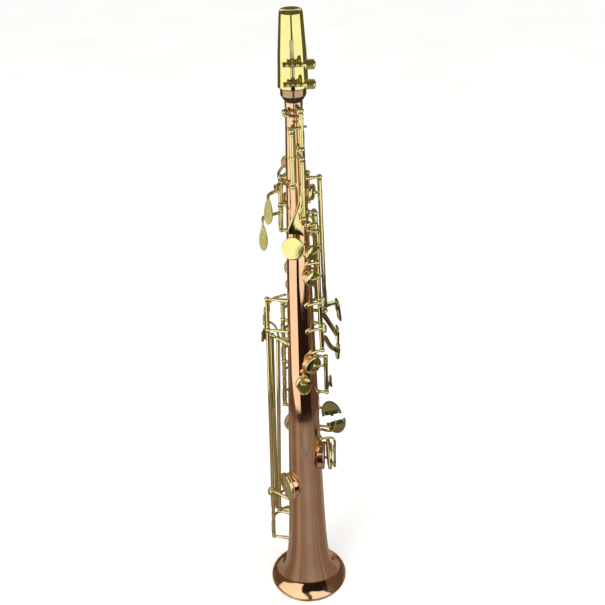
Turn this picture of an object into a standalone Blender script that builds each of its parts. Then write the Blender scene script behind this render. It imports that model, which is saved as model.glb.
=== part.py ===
"""Soprano saxophone, standing on its bell.

World frame: metres, +Z up along the bore towards the mouthpiece, origin on the bore axis in the
plane of the bell rim. -Y is the thumb side (back), +Y the audience side (front), -X the player's
left and +X the player's right.

A place round the tube is given by its angle in degrees, counted from the back (-Y): +90 is the
player's right (+X), -90 the player's left and 180 the front. Design values are in millimetres and
are turned into metres as each shape is made.
"""

import math

import bmesh
import bpy
from mathutils import Matrix, Vector

MM = 0.001
GAP = 0.3  # clearance between neighbouring pieces

# ---------------------------------------------------------------- driving dimensions
BODY_TOP = 609.0  # top of the neck end
BELL_JOINT = 252.0  # seam between the body tube and the bell section
WALL = 1.2
NECK_RADIUS = 8.0  # outer radius of the cone at its top
CONE_SLOPE = 0.0253  # growth of the outer radius for each millimetre down
BELL_RADIUS = 46.0
FLARE_LENGTH = 27.8
FLARE_POWER = 2.2
BEAD_RADIUS = 1.0  # rolled edge of the bell
COLLAR_RADIUS = 8.4
COLLAR_HEIGHT = 5.0

TUBE_RADIUS = 2.2  # hinge tube
ROD_RADIUS = 0.9
ROD_BORE = 1.25
ARM_RADIUS = 1.3
POST_HEAD_RADIUS = 2.7
POST_HEAD_HEIGHT = 4.0
PAD_DEPTH = 4.6  # pad and cup together, above the chimney
CUP_DEPTH = 2.2  # the metal part of that
CHIMNEY_WALL = 1.0
CUP_OVERHANG = 1.4  # how far a cup stands past its chimney
PLATE_DEPTH = 1.8  # finger plates
ROLLER_RADIUS = 2.1
ROLLER_LENGTH = 15.0

CAP_TOP = 690.0
CAP_BOTTOM = 622.0
CAP_RADIUS = 14.2
CAP_TOP_RADIUS = 10.6
MOUTHPIECE_BOTTOM = 610.0
MOUTHPIECE_TIP = 683.0
SHANK_RADIUS = 11.8
SCREW_HEIGHTS = (646, 628.5)


def cone_radius(z):
    return NECK_RADIUS + CONE_SLOPE * (BODY_TOP - 3 - z)


def tube_radius(z):
    """Outer radius of the tube: a straight cone, and the bell's flare added to it."""
    flare = BELL_RADIUS - BEAD_RADIUS - cone_radius(0)
    return cone_radius(z) + flare / (1 + z / FLARE_LENGTH) ** FLARE_POWER


def outward(angle):
    """Unit vector away from the bore at this angle round the tube."""
    a = math.radians(angle)
    return Vector((math.sin(a), -math.cos(a), 0))


def around(angle, radius, z):
    return outward(angle) * radius + Vector((0, 0, z))


# ---------------------------------------------------------------- hinge lines
def hinge_line(x, y, z, spread=CONE_SLOPE):
    """A hinge line through this point, which leans out from the bore by spread for each millimetre down."""
    return Vector((x, y, z)), Vector((0, 0, 1)) - Vector((x, y, 0)).normalized() * spread


def on(line, z):
    """The point of a hinge line at this height."""
    point, rise = line
    return point + rise * (z - point.z)


def axis_of(line):
    return line[1].normalized()


OCTAVE_RIGHT = hinge_line(6.2, -15.0, 550, 0)
OCTAVE_LEFT = hinge_line(-3.2, -14.8, 550, 0)
LOWER_VENT_LINE = hinge_line(17.5, -6.5, 490)
PALM_LINE = hinge_line(-14.8, 4.0, 532)
FRONT_F_LINE = hinge_line(11.0, 12.5, 518, 0)
UPPER_STACK_LINE = hinge_line(16.6, 12.5, 484, 0.012)
LOWER_STACK_LINE = hinge_line(-18.5, 13.0, 380, 0.02)
SIDE_E_LINE = hinge_line(22.3, 6.0, 530, 0.025)
SIDE_C_LINE = hinge_line(19.0, 2.5, 479, 0.012)
SIDE_BB_LINE = hinge_line(19.6, -6.0, 412, 0.03)
TRILL_LINE = hinge_line(25.2, -3.0, 329, 0.01)
RIGHT_FINGER_LINE = hinge_line(15.5, 18.5, 240, 0.012)
TABLE_OUTER_LINE = hinge_line(-34.3, 8.0, 397, 0.022)
TABLE_INNER_LINE = hinge_line(-24.8, 8.0, 342, 0.036)
TABLE_FRONT_LINE = hinge_line(-31.5, 15.0, 347, 0.022)


# ---------------------------------------------------------------- keys
def cup(z, angle, diameter, rise=3.2, arm_z=None):
    """A key cup over a tone hole; rise is the chimney's height and arm_z where its arm starts."""
    return {"z": z, "angle": angle, "diameter": diameter, "rise": rise, "arm_z": arm_z or z}


def touch(shape, centre, normal, size, route=(), spin=0):
    """A finger plate: width across and height along it, reached by an arm through these points."""
    return {"shape": shape, "centre": centre, "normal": normal, "size": size, "route": route, "spin": spin}


def key(line, tube, lift, stands, cups=(), touches=(), bars=(), breaks=(), press=None):
    """One key: its hinge line, the reach of its hinge tube, how far its cup travels, and how it stands
    at rest: open, closed, or as a lever with no cup. breaks are where its tube steps round a post, and
    press is the sense and travel of a lever."""
    return {
        "line": line, "tube": tube, "lift": lift, "stands": stands, "cups": list(cups),
        "touches": list(touches), "bars": list(bars), "breaks": breaks, "press": press,
    }


def button(z, angle, diameter=13.0, rise=3.2):
    """A round finger button on a cup: its plate stands a little above the cup's disc."""
    reach = tube_radius(z) + rise + GAP + PAD_DEPTH + 3.6
    return touch("round", tuple(around(angle, reach, z)), tuple(outward(angle)), (diameter, diameter))


KEYS = {
    "upper_vent_key": key(
        OCTAVE_RIGHT, (570, 601), 2.6, "closed", [cup(600, -40, 7.6, 1.8, 598)],
        bars=[((6.2, -17.4, 588.5), (-5.5, -18.4, 588.5), 1.1), ((6.2, -15.0, 588.5), (10.5, -15.0, 588.5), 1.1)],
    ),
    "octave_rocker": key(
        OCTAVE_LEFT, (533, 582), 0, "lever", press=(1, 8.0),
        bars=[((-3.2, -14.8, 557), (-3.2, -14.8, 560), 3.0), ((-3.2, -14.8, 536), (-8.5, -15.2, 536), 1.1)],
    ),
    "thumb_octave_lever": key(
        OCTAVE_RIGHT, (500, 555), 0, "lever", press=(-1, 12.0),
        touches=[touch("leaf", (-1.5, -19.0, 496), (0, -1, 0), (15, 30))],
        bars=[((6.2, -15.0, 512), (1.5, -19.0, 504), 1.5), ((6.2, -15.0, 527), (10.5, -15.0, 527), 1.1)],
    ),
    "lower_vent_key": key(LOWER_VENT_LINE, (482, 496), 2.4, "closed", [cup(489, 40, 8.0, 2.8)]),
    "palm_f_key": key(
        PALM_LINE, (523.6, 529.2), 2.6, "closed", [cup(545, -150, 14, arm_z=526.4)],
        [touch("round", (-20.5, -7, 526.4), (-1, 0, 0), (9, 6), [(-17.5, 0, 526.4)])],
    ),
    "palm_eb_key": key(
        PALM_LINE, (507, 523), 2.6, "closed", [cup(527, -150, 15, arm_z=513)],
        [touch("teardrop", (-27.4, -15, 506), (-0.45, -1, 0.1), (11, 27), [(-23, -2, 519.5), (-27, -10, 519)])],
    ),
    "palm_d_key": key(
        PALM_LINE, (479.2, 501.6), 2.6, "closed", [cup(507, -152, 15, arm_z=497)],
        [touch("teardrop", (-33.5, -15, 477.5), (-0.45, -1, 0.1), (11, 26), [(-28, -2, 495.5), (-33.5, -6.5, 493.8)])],
    ),
    "front_f_key": key(
        FRONT_F_LINE, (506, 530), 0, "lever", press=(1, 7.0),
        touches=[touch("teardrop", (4.5, 20.0, 502), (0, 1, 0), (10, 18), [(10, 18.5, 508)])],
        bars=[((11, 12.5, 526), (5.0, 19.0, 533), 1.2)],
    ),
    "c_vent_key": key(UPPER_STACK_LINE, (478, 489.5), 2.4, "open", [cup(484, 178, 11)]),
    "b_key": key(UPPER_STACK_LINE, (453, 473), 2.6, "open", [cup(465, -165, 14)], [button(465, -165, 12.5)]),
    "bis_key": key(UPPER_STACK_LINE, (434, 452.4), 2.6, "open", [cup(445, -158, 15)]),
    "a_key": key(UPPER_STACK_LINE, (414, 433.4), 2.8, "open", [cup(426, -155, 17)], [button(426, -155)]),
    "g_key": key(UPPER_STACK_LINE, (394, 413.4), 3.0, "open", [cup(406, -160, 19)], [button(406, -160)]),
    "gs_key": key(LOWER_STACK_LINE, (370.2, 386), 3.0, "closed", [cup(379, -170, 20)]),
    "fsharp_key": key(LOWER_STACK_LINE, (341.6, 365.2), 3.4, "open", [cup(352, -178, 22)]),
    "f_key": key(LOWER_STACK_LINE, (316.7, 341), 3.6, "open", [cup(326, -176, 24)], [button(326, -176, 14)]),
    "e_key": key(LOWER_STACK_LINE, (284, 311.3), 3.8, "open", [cup(297, -175, 25)], [button(297, -175, 14)]),
    "d_key": key(LOWER_STACK_LINE, (257, 283.4), 4.0, "open", [cup(267, -173, 26)], [button(267, -173, 14)]),
    "side_e_key": key(
        SIDE_E_LINE, (383, 528), 2.8, "closed", [cup(520, 72, 16, arm_z=513)],
        [touch("oblong", (40, 15, 376), (1, 0.25, 0.12), (12, 26), [(31, 10.5, 386), (37.5, 13.5, 385)])],
    ),
    "side_c_key": key(
        SIDE_C_LINE, (371, 476), 2.8, "closed", [cup(458, 48, 16)],
        [touch("oblong", (38.6, 14, 346), (1, 0.2, 0), (12, 20), [(24, 8, 374), (29, 10, 365), (37, 13, 348)])],
    ),
    "side_bb_key": key(
        SIDE_BB_LINE, (342.4, 441.5), 2.8, "closed", [cup(430, 42, 16)],
        [touch("oblong", (39, 12, 326), (1, 0.2, -0.1), (12, 19), [(25, -2, 352), (31, 4, 337), (37.5, 10, 328)])],
        breaks=(398, 367),
    ),
    "fsharp_trill_key": key(
        TRILL_LINE, (285, 326), 3.0, "closed", [cup(327, 35, 20, 2.6, arm_z=321)],
        [touch("round", (31, 9, 288), (1, 0.1, 0), (14, 14), [(28.5, 3, 288)])],
    ),
    "low_eb_key": key(
        RIGHT_FINGER_LINE, (240.6, 262), 4.5, "closed", [cup(226, -155, 28, arm_z=243.5)],
        [touch("half_up", (32, 13, 238.5), (0, 1, 0.15), (22.5, 22), [(20, 18, 245), (26, 13.2, 247)], -12)],
    ),
    "low_c_key": key(
        RIGHT_FINGER_LINE, (190, 240), 3.8, "open", [cup(192, 85, 35, 3.6)],
        [touch("half_down", (35.8, 13, 227), (0, 1, 0.15), (22.5, 21), [(20, 18, 213), (31, 13.8, 213)], -12)],
        [((16, 18.3, 219), (29, 13.4, 219), 1.3)],
    ),
    "gs_touch": key(
        TABLE_OUTER_LINE, (361, 393), 0, "lever", press=(-1, 9.0),
        touches=[touch("oblong", (-36, 24, 372.5), (-1, 0.35, 0), (15, 12), [(-35.5, 14, 372.5)])],
        bars=[((-34.5, 8, 388), (-27, 13, 394), 1.3), ((-27.5, 12.8, 394), (-15.5, 15.5, 396), 1.3)],
    ),
    "low_csharp_key": key(
        TABLE_INNER_LINE, (99, 344), 4.5, "closed", [cup(154, -65, 33, 1.8, 148)],
        [touch("oblong", (-38.5, 31, 358), (-1, 0.35, 0), (11, 13), [(-24, 16, 341), (-28, 25, 352), (-36.5, 30, 356)])],
    ),
    "low_b_key": key(
        TABLE_FRONT_LINE, (100, 344), 5.0, "open", [cup(114, -172, 34, 4.5)],
        [touch("oblong", (-37, 20.5, 358), (-1, 0.35, 0), (8, 13), [(-34.2, 18.8, 342), (-35.8, 20.5, 352)])],
    ),
    "low_bb_key": key(
        TABLE_OUTER_LINE, (59, 355), 5.0, "open", [cup(76, -172, 35, 4.5, 90)],
        [touch("oblong", (-38.8, 23, 343.5), (-1, 0.35, 0), (18, 12), [(-37, 13, 343.5)])],
        breaks=(130,),
    ),
}

# posts: hinge line, height, and the angle of the foot where it isn't straight below the head
POSTS = [
    (OCTAVE_RIGHT, 604), (OCTAVE_RIGHT, 567), (OCTAVE_RIGHT, 558), (OCTAVE_RIGHT, 497),
    (OCTAVE_LEFT, 585), (OCTAVE_LEFT, 530), (LOWER_VENT_LINE, 499), (LOWER_VENT_LINE, 479),
    (PALM_LINE, 533), (PALM_LINE, 504.3), (PALM_LINE, 476.5), (FRONT_F_LINE, 533), (FRONT_F_LINE, 503),
    (UPPER_STACK_LINE, 492.3), (UPPER_STACK_LINE, 475.5), (UPPER_STACK_LINE, 391.3),
    (LOWER_STACK_LINE, 389), (LOWER_STACK_LINE, 367.7), (LOWER_STACK_LINE, 314), (LOWER_STACK_LINE, 254.5),
    (SIDE_E_LINE, 531), (SIDE_E_LINE, 380, 130), (SIDE_C_LINE, 479), (SIDE_C_LINE, 368.3),
    (SIDE_BB_LINE, 444.2, 42), (SIDE_BB_LINE, 398, 30), (SIDE_BB_LINE, 367, 30), (SIDE_BB_LINE, 339.7, 40),
    (TRILL_LINE, 329), (TRILL_LINE, 282.3), (RIGHT_FINGER_LINE, 264.7), (RIGHT_FINGER_LINE, 187.3),
    (TABLE_OUTER_LINE, 396), (TABLE_OUTER_LINE, 358), (TABLE_INNER_LINE, 347), (TABLE_FRONT_LINE, 347, -75),
    (TABLE_OUTER_LINE, 130, -75), (TABLE_OUTER_LINE, 56), (TABLE_INNER_LINE, 96), (TABLE_FRONT_LINE, 97),
]

# steel rods: hinge line, lowest and highest point
RODS = {
    "octave_right_rod": (OCTAVE_RIGHT, 495, 606), "octave_left_rod": (OCTAVE_LEFT, 528, 587),
    "palm_rod": (PALM_LINE, 474.5, 535), "upper_stack_rod": (UPPER_STACK_LINE, 389.3, 494.3),
    "lower_stack_rod": (LOWER_STACK_LINE, 252.6, 391), "side_e_rod": (SIDE_E_LINE, 378, 533),
    "side_c_rod": (SIDE_C_LINE, 366.3, 481), "side_bb_rod": (SIDE_BB_LINE, 337.7, 446.2),
    "trill_rod": (TRILL_LINE, 280.3, 331), "right_finger_rod": (RIGHT_FINGER_LINE, 185.3, 266.7),
    "table_outer_rod": (TABLE_OUTER_LINE, 54, 398), "table_inner_rod": (TABLE_INNER_LINE, 94, 349),
    "table_front_rod": (TABLE_FRONT_LINE, 95, 349),
}

PADS_MODELLED = ("low_c_key", "low_b_key", "low_bb_key")

# ---------------------------------------------------------------- materials
COLOURS = {
    "copper": ((0.72, 0.42, 0.27), 1.0, 0.2),
    "lacquered_brass": ((0.86, 0.74, 0.36), 1.0, 0.22),
    "steel": ((0.6, 0.6, 0.62), 1.0, 0.3),
    "ebonite": ((0.012, 0.012, 0.013), 0.0, 0.15),
    "cork": ((0.55, 0.36, 0.2), 0.0, 0.8),
    "cane": ((0.82, 0.7, 0.42), 0.0, 0.6),
    "pad_leather": ((0.45, 0.24, 0.12), 0.0, 0.6),
    "roller_black": ((0.02, 0.02, 0.02), 0.0, 0.3),
}


def make_material(name):
    colour, metallic, roughness = COLOURS[name]
    material = bpy.data.materials.new(name)
    material.use_nodes = True
    shader = material.node_tree.nodes["Principled BSDF"]
    shader.inputs["Base Color"].default_value = (*colour, 1)
    shader.inputs["Metallic"].default_value = metallic
    shader.inputs["Roughness"].default_value = roughness
    material.diffuse_color = (*colour, 1)
    return material


# ---------------------------------------------------------------- shapes
def temporary(mesh, name="piece"):
    """An object for a mesh, which a Boolean uses up."""
    obj = bpy.data.objects.new(name, mesh)
    bpy.context.scene.collection.objects.link(obj)
    return obj


def from_bmesh(bm):
    mesh = bpy.data.meshes.new("piece")
    bmesh.ops.recalc_face_normals(bm, faces=bm.faces)
    bm.to_mesh(mesh)
    bm.free()
    return temporary(mesh)


def bar(start, end, radius, end_radius=None, sides=6):
    """A round bar between two points, tapered where end_radius differs."""
    start, end = Vector(start), Vector(end)
    direction = end - start
    turn = Vector((0, 0, 1)).rotation_difference(direction).to_matrix().to_4x4()
    place = Matrix.Translation((start + end) / 2) @ turn
    bm = bmesh.new()
    bmesh.ops.create_cone(
        bm, cap_ends=True, segments=sides, radius1=radius,
        radius2=radius if end_radius is None else end_radius, depth=direction.length, matrix=place,
    )
    bmesh.ops.scale(bm, vec=(MM, MM, MM), verts=bm.verts)
    return from_bmesh(bm)


def path_bars(points, radius, sides=4):
    """Bars through these points, each run a little past its corner so that they join."""
    bars = []
    for first, second in zip(points, points[1:]):
        first, second = Vector(first), Vector(second)
        step = (second - first).normalized() * radius * 0.7
        bars.append(bar(first - step, second + step, radius, sides=sides))
    return bars


def arc(radius_x, radius_y, first, last, steps):
    """Points of an elliptic arc from first to last degrees."""
    angles = [math.radians(first + (last - first) * i / steps) for i in range(steps + 1)]
    return [(radius_x * math.cos(a), radius_y * math.sin(a)) for a in angles]


def outline(shape, width, height):
    """Outline of a finger plate, in the plate's own plane, centred on its arm."""
    half_w, half_h = width / 2, height / 2
    if shape == "half_up":
        return arc(half_w, height, 0, 180, 10)
    if shape == "half_down":
        return arc(half_w, height, 180, 360, 10)
    if shape == "teardrop":
        lower = arc(half_w, half_h * 0.8, 180, 360, 8)
        return [(x, y - half_h * 0.2) for x, y in lower] + [(half_w * 0.35, half_h), (-half_w * 0.35, half_h)]
    if shape == "leaf":
        lower = [(half_w, -half_h), (half_w * 0.3, -half_h * 0.8), (-half_w * 0.8, -half_h * 0.82)]
        upper = [(-half_w, -half_h * 0.6), (-half_w * 0.3, half_h * 0.1), (half_w * 0.4, half_h), (half_w, half_h)]
        return lower + upper
    if shape == "oblong":
        corner = min(half_w, half_h) * 0.5
        points = []
        for sign_x, sign_y, first in ((1, 1, 0), (-1, 1, 90), (-1, -1, 180), (1, -1, 270)):
            centre = (sign_x * (half_w - corner), sign_y * (half_h - corner))
            points += [(centre[0] + x, centre[1] + y) for x, y in arc(corner, corner, first, first + 90, 2)]
        return points
    return arc(half_w, half_h, 0, 330, 11)


def plate(points, depth, place):
    """A flat plate: a filled 2D curve, made a mesh and carried to its place."""
    curve = bpy.data.curves.new("outline", "CURVE")
    curve.dimensions = "2D"
    curve.fill_mode = "BOTH"
    curve.extrude = depth / 2 * MM
    spline = curve.splines.new("POLY")
    spline.points.add(len(points) - 1)
    for point, (x, y) in zip(spline.points, points):
        point.co = (x * MM, y * MM, 0, 1)
    spline.use_cyclic_u = True
    guide = temporary(curve, "outline")
    bpy.context.view_layer.update()
    evaluated = guide.evaluated_get(bpy.context.evaluated_depsgraph_get())
    bm = bmesh.new()
    bm.from_mesh(evaluated.to_mesh())
    evaluated.to_mesh_clear()
    bpy.data.objects.remove(guide)
    bmesh.ops.remove_doubles(bm, verts=bm.verts, dist=1e-6)
    place = place.copy()
    place.translation = place.translation * MM
    bmesh.ops.transform(bm, matrix=place, verts=bm.verts)
    return from_bmesh(bm)


def facing(centre, normal, spin=0.0):
    """Place of a plate: its depth along normal, its height near +Z and then turned by spin degrees."""
    axis = Vector(normal).normalized()
    side = Vector((0, 0, 1)).cross(axis).normalized() if abs(axis.z) < 0.99 else Vector((1, 0, 0))
    up = axis.cross(side)
    place = Matrix((side, up, axis)).transposed().to_4x4()
    place.translation = Vector(centre)
    return place @ Matrix.Rotation(math.radians(spin), 4, "Z")


def turned(profile, sides, name="piece"):
    """A closed (radius, height) profile turned round the bore axis with a Screw modifier."""
    mesh = bpy.data.meshes.new(name)
    points = [(r * MM, 0, z * MM) for r, z in profile]
    mesh.from_pydata(points, [(i, (i + 1) % len(points)) for i in range(len(points))], [])
    obj = temporary(mesh, name)
    screw = obj.modifiers.new("turn", "SCREW")
    screw.steps = screw.render_steps = sides
    screw.use_merge_vertices = True
    screw.merge_threshold = 0.00001
    screw.use_smooth_shade = False
    return settle(obj)


def settle(obj):
    """The object with its modifiers applied and its normals pointing out."""
    bpy.context.view_layer.update()
    evaluated = obj.evaluated_get(bpy.context.evaluated_depsgraph_get())
    mesh = bpy.data.meshes.new_from_object(evaluated)
    obj.modifiers.clear()
    obj.data = mesh
    bm = bmesh.new()
    bm.from_mesh(mesh)
    bmesh.ops.recalc_face_normals(bm, faces=bm.faces)
    bm.to_mesh(mesh)
    bm.free()
    return obj


def combine(base, others, operation):
    """Boolean of base with each of others in turn, which are used up."""
    for other in others:
        modifier = base.modifiers.new(operation, "BOOLEAN")
        modifier.operation = operation
        modifier.solver = "MANIFOLD"
        modifier.object = other
    if others:
        settle(base)
        for other in others:
            bpy.data.objects.remove(other)
    return base


def finish_piece(name, solids, material, cutters=(), origin=(0, 0, 0), turn=0.0, axis=(0, 0, 1)):
    """One node: the union of solids less the cutters, turned in degrees about the axis through origin."""
    obj = combine(solids[0], solids[1:], "UNION")
    combine(obj, list(cutters), "DIFFERENCE")
    origin = Vector(origin) * MM
    spin = Matrix.Rotation(math.radians(turn), 4, Vector(axis)) @ Matrix.Translation(-origin)
    obj.data.transform(spin)
    obj.location = origin
    obj.name = name
    obj.data.name = name
    obj.data.materials.clear()
    obj.data.materials.append(MATERIALS[material])
    obj.data.shade_smooth()
    obj.data.set_sharp_from_angle(angle=math.radians(35))
    bpy.context.scene.collection.objects.unlink(obj)
    SAXOPHONE.objects.link(obj)
    return obj


# ---------------------------------------------------------------- keys
def seat_height(spec):
    """Distance from the bore axis to the top of this cup's chimney."""
    return tube_radius(spec["z"]) + spec["rise"]


def cup_centre(spec):
    return around(spec["angle"], seat_height(spec) + GAP + PAD_DEPTH, spec["z"])


def swing_of(spec):
    """(sign, degrees) of a key's press about +Z, and the turn that its rest position has from closed."""
    if spec["stands"] == "lever":
        return spec["press"][0], spec["press"][1], 0.0
    centre = cup_centre(spec["cups"][0])
    reach = centre - on(spec["line"], centre.z)
    degrees = math.degrees(spec["lift"] / reach.length)
    rising = Vector((-reach.y, reach.x, 0)).dot(outward(spec["cups"][0]["angle"]))
    opening = 1 if rising > 0 else -1
    if spec["stands"] == "closed":
        return opening, degrees, 0.0
    return -opening, degrees, opening * degrees


def cup_solids(spec, key_spec, has_pad):
    """The cup's disc and the arm from the hinge tube over its rim to its middle."""
    seat = seat_height(spec)
    bottom = seat + GAP + (PAD_DEPTH - CUP_DEPTH if has_pad else 0)
    top = seat + GAP + PAD_DEPTH
    radius = spec["diameter"] / 2
    sides = 12 if radius > 9 else 10
    disc = bar(around(spec["angle"], bottom, spec["z"]), around(spec["angle"], top, spec["z"]), radius, sides=sides)
    centre = around(spec["angle"], top + ARM_RADIUS * 0.3, spec["z"])
    start = on(key_spec["line"], spec["arm_z"])
    across = start - centre
    across.z = 0
    across -= outward(spec["angle"]) * across.dot(outward(spec["angle"]))
    slope = Vector((0, 0, (spec["arm_z"] - spec["z"]) * radius / max(across.length, radius + 3)))
    corner = centre + across.normalized() * min(radius + 2.2, across.length) + slope
    return [disc] + path_bars([start, corner, centre], ARM_RADIUS)


def touch_solids(spec, key_spec):
    width, height = spec["size"]
    place = facing(spec["centre"], spec["normal"], spec["spin"])
    solids = [plate(outline(spec["shape"], width, height), PLATE_DEPTH, place)]
    if spec["route"]:
        first = Vector(spec["route"][0])
        start = on(key_spec["line"], min(max(first.z, key_spec["tube"][0] + 2), key_spec["tube"][1] - 2))
        solids += path_bars([start, *spec["route"], spec["centre"]], ARM_RADIUS)
    elif spec["shape"] == "round":
        centre, normal = Vector(spec["centre"]), Vector(spec["normal"])
        solids.append(bar(centre, centre - normal * 6, 2.0, sides=6))
    return solids


def roller_place(spec):
    """Where the roller of a half-moon plate lies: just inside its flat edge, along it."""
    inward = 1 if spec["shape"] == "half_up" else -1
    place = facing(spec["centre"], spec["normal"], spec["spin"])
    return place @ Vector((0, inward * 2.9, 0)), place.to_3x3() @ Vector((1, 0, 0)), place


def roller_notch(spec):
    """The cut-out of a half-moon plate that its roller turns in."""
    centre, _, place = roller_place(spec)
    place.translation = centre
    half_long, half_high = ROLLER_LENGTH / 2 + GAP, ROLLER_RADIUS + 0.6
    corners = [(-half_long, -half_high - 2), (half_long, -half_high - 2), (half_long, half_high), (-half_long, half_high)]
    if spec["shape"] == "half_down":
        corners = [(-x, -y) for x, y in corners]
    return plate(corners, PLATE_DEPTH * 3, place)


def make_key(name, spec):
    line, (low, high) = spec["line"], spec["tube"]
    gap = POST_HEAD_HEIGHT / 2 + 1
    levels = [low] + [z + side * gap for z in sorted(spec["breaks"]) for side in (-1, 1)] + [high]
    solids = [bar(on(line, first), on(line, second), TUBE_RADIUS) for first, second in zip(levels[::2], levels[1::2])]
    for z in spec["breaks"]:
        side = Vector((math.copysign(TUBE_RADIUS + 2.5, line[0].x), 0, 0))
        lower, upper = on(line, z - gap - 2), on(line, z + gap + 2)
        solids += path_bars([lower, lower + side, upper + side, upper], ARM_RADIUS)
    for one in spec["cups"]:
        solids += cup_solids(one, spec, name in PADS_MODELLED)
    cutters = [bar(on(line, low - 5), on(line, high + 5), ROD_BORE)]
    for one in spec["touches"]:
        solids += touch_solids(one, spec)
        if one["shape"].startswith("half"):
            cutters.append(roller_notch(one))
    for start, end, radius in spec["bars"]:
        solids.append(bar(start, end, radius))
    finish_piece(name, solids, "lacquered_brass", cutters, on(line, (low + high) / 2), swing_of(spec)[2], axis_of(line))


def make_pad(name, spec):
    one = spec["cups"][0]
    seat = seat_height(one) + GAP
    radius = one["diameter"] / 2 - 0.8
    solid = bar(around(one["angle"], seat, one["z"]),
                around(one["angle"], seat + PAD_DEPTH - CUP_DEPTH - GAP, one["z"]), radius, sides=16)
    line = spec["line"]
    finish_piece(name.replace("key", "pad"), [solid], "pad_leather", (), on(line, sum(spec["tube"]) / 2),
                 swing_of(spec)[2], axis_of(line))


# ---------------------------------------------------------------- body
def tube_profile(low, high, extra_levels=()):
    """Closed wall profile between two heights: down the outside, up the inside."""
    levels = sorted({low, high, *extra_levels}, reverse=True)
    outer = [(tube_radius(z), z) for z in levels]
    inner = [(tube_radius(z) - WALL, z) for z in reversed(levels)]
    return outer + inner


def post_solids(line, z, foot_angle=None):
    """A post: a head round the rod and a tapered shank down to the tube."""
    head = on(line, z)
    foot_reach = tube_radius(z) - WALL / 2
    if foot_angle is None:
        foot = Vector((head.x, head.y, 0)).normalized() * foot_reach + Vector((0, 0, z))
    else:
        foot = around(foot_angle, foot_reach, z)
    half = Vector((0, 0, POST_HEAD_HEIGHT / 2))
    return [bar(foot, head, 2.0, 1.4, sides=4), bar(head - half, head + half, POST_HEAD_RADIUS, sides=6)]


def chimney_solids(one):
    radius = one["diameter"] / 2 - CUP_OVERHANG
    inner = tube_radius(one["z"]) - WALL - (3.0 if radius > 8 else 0.5)
    sides = 10 if radius > 8 else 8
    seat = seat_height(one)
    outer = bar(around(one["angle"], inner, one["z"]), around(one["angle"], seat, one["z"]), radius, sides=sides)
    bore = bar(around(one["angle"], 1, one["z"]), around(one["angle"], seat + 2, one["z"]),
               radius - CHIMNEY_WALL, sides=sides)
    return outer, bore


def inner_bore(low, high, levels):
    """A plug just clear of the bore's wall, which cuts off what stands into the bore."""
    heights = sorted({low - 4, high + 4, *levels}, reverse=True)
    clear = WALL + 0.15
    outside = [(tube_radius(max(z, 0)) - clear, z) for z in heights]
    return turned([(0.0, heights[0])] + outside + [(0.0, heights[-1])], 24)


def make_tube(name, low, high, levels):
    tube = turned(tube_profile(low, high, levels), 24)
    solids, cutters = [tube], []
    for spec in KEYS.values():
        for one in spec["cups"]:
            if low < one["z"] < high:
                outer, bore = chimney_solids(one)
                solids.append(outer)
                cutters.append(bore)
    for post in POSTS:
        if low < post[1] < high:
            solids += post_solids(*post)
    cutters.append(inner_bore(low, high, levels))
    for line, rod_low, rod_high in RODS.values():
        if rod_low < high and rod_high > low:
            cutters.append(bar(on(line, rod_low - 3), on(line, rod_high + 3), ROD_BORE))
    return name, solids, cutters


def make_body():
    name, solids, cutters = make_tube("body_tube", BELL_JOINT + GAP / 2, BODY_TOP - 1, (430,))
    collar = turned([(COLLAR_RADIUS - 1, BODY_TOP), (COLLAR_RADIUS, BODY_TOP - 1),
                     (COLLAR_RADIUS, BODY_TOP - COLLAR_HEIGHT), (6.9, BODY_TOP - COLLAR_HEIGHT - 1), (6.9, BODY_TOP)], 24)
    finish_piece(name, [solids[0], collar] + solids[1:], "copper", cutters)
    name, solids, cutters = make_tube("bell", 0, BELL_JOINT - GAP / 2, (170, 100, 60, 40, 28, 18, 10, 5))
    rim = turned([(BELL_RADIUS, 1.0), (BELL_RADIUS, 0), (BELL_RADIUS - 2.6, 0), (BELL_RADIUS - 2.6, 2.2),
                  (BELL_RADIUS - 0.6, 2.2)], 24)
    finish_piece(name, [solids[0], rim] + solids[1:], "copper", cutters)


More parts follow.
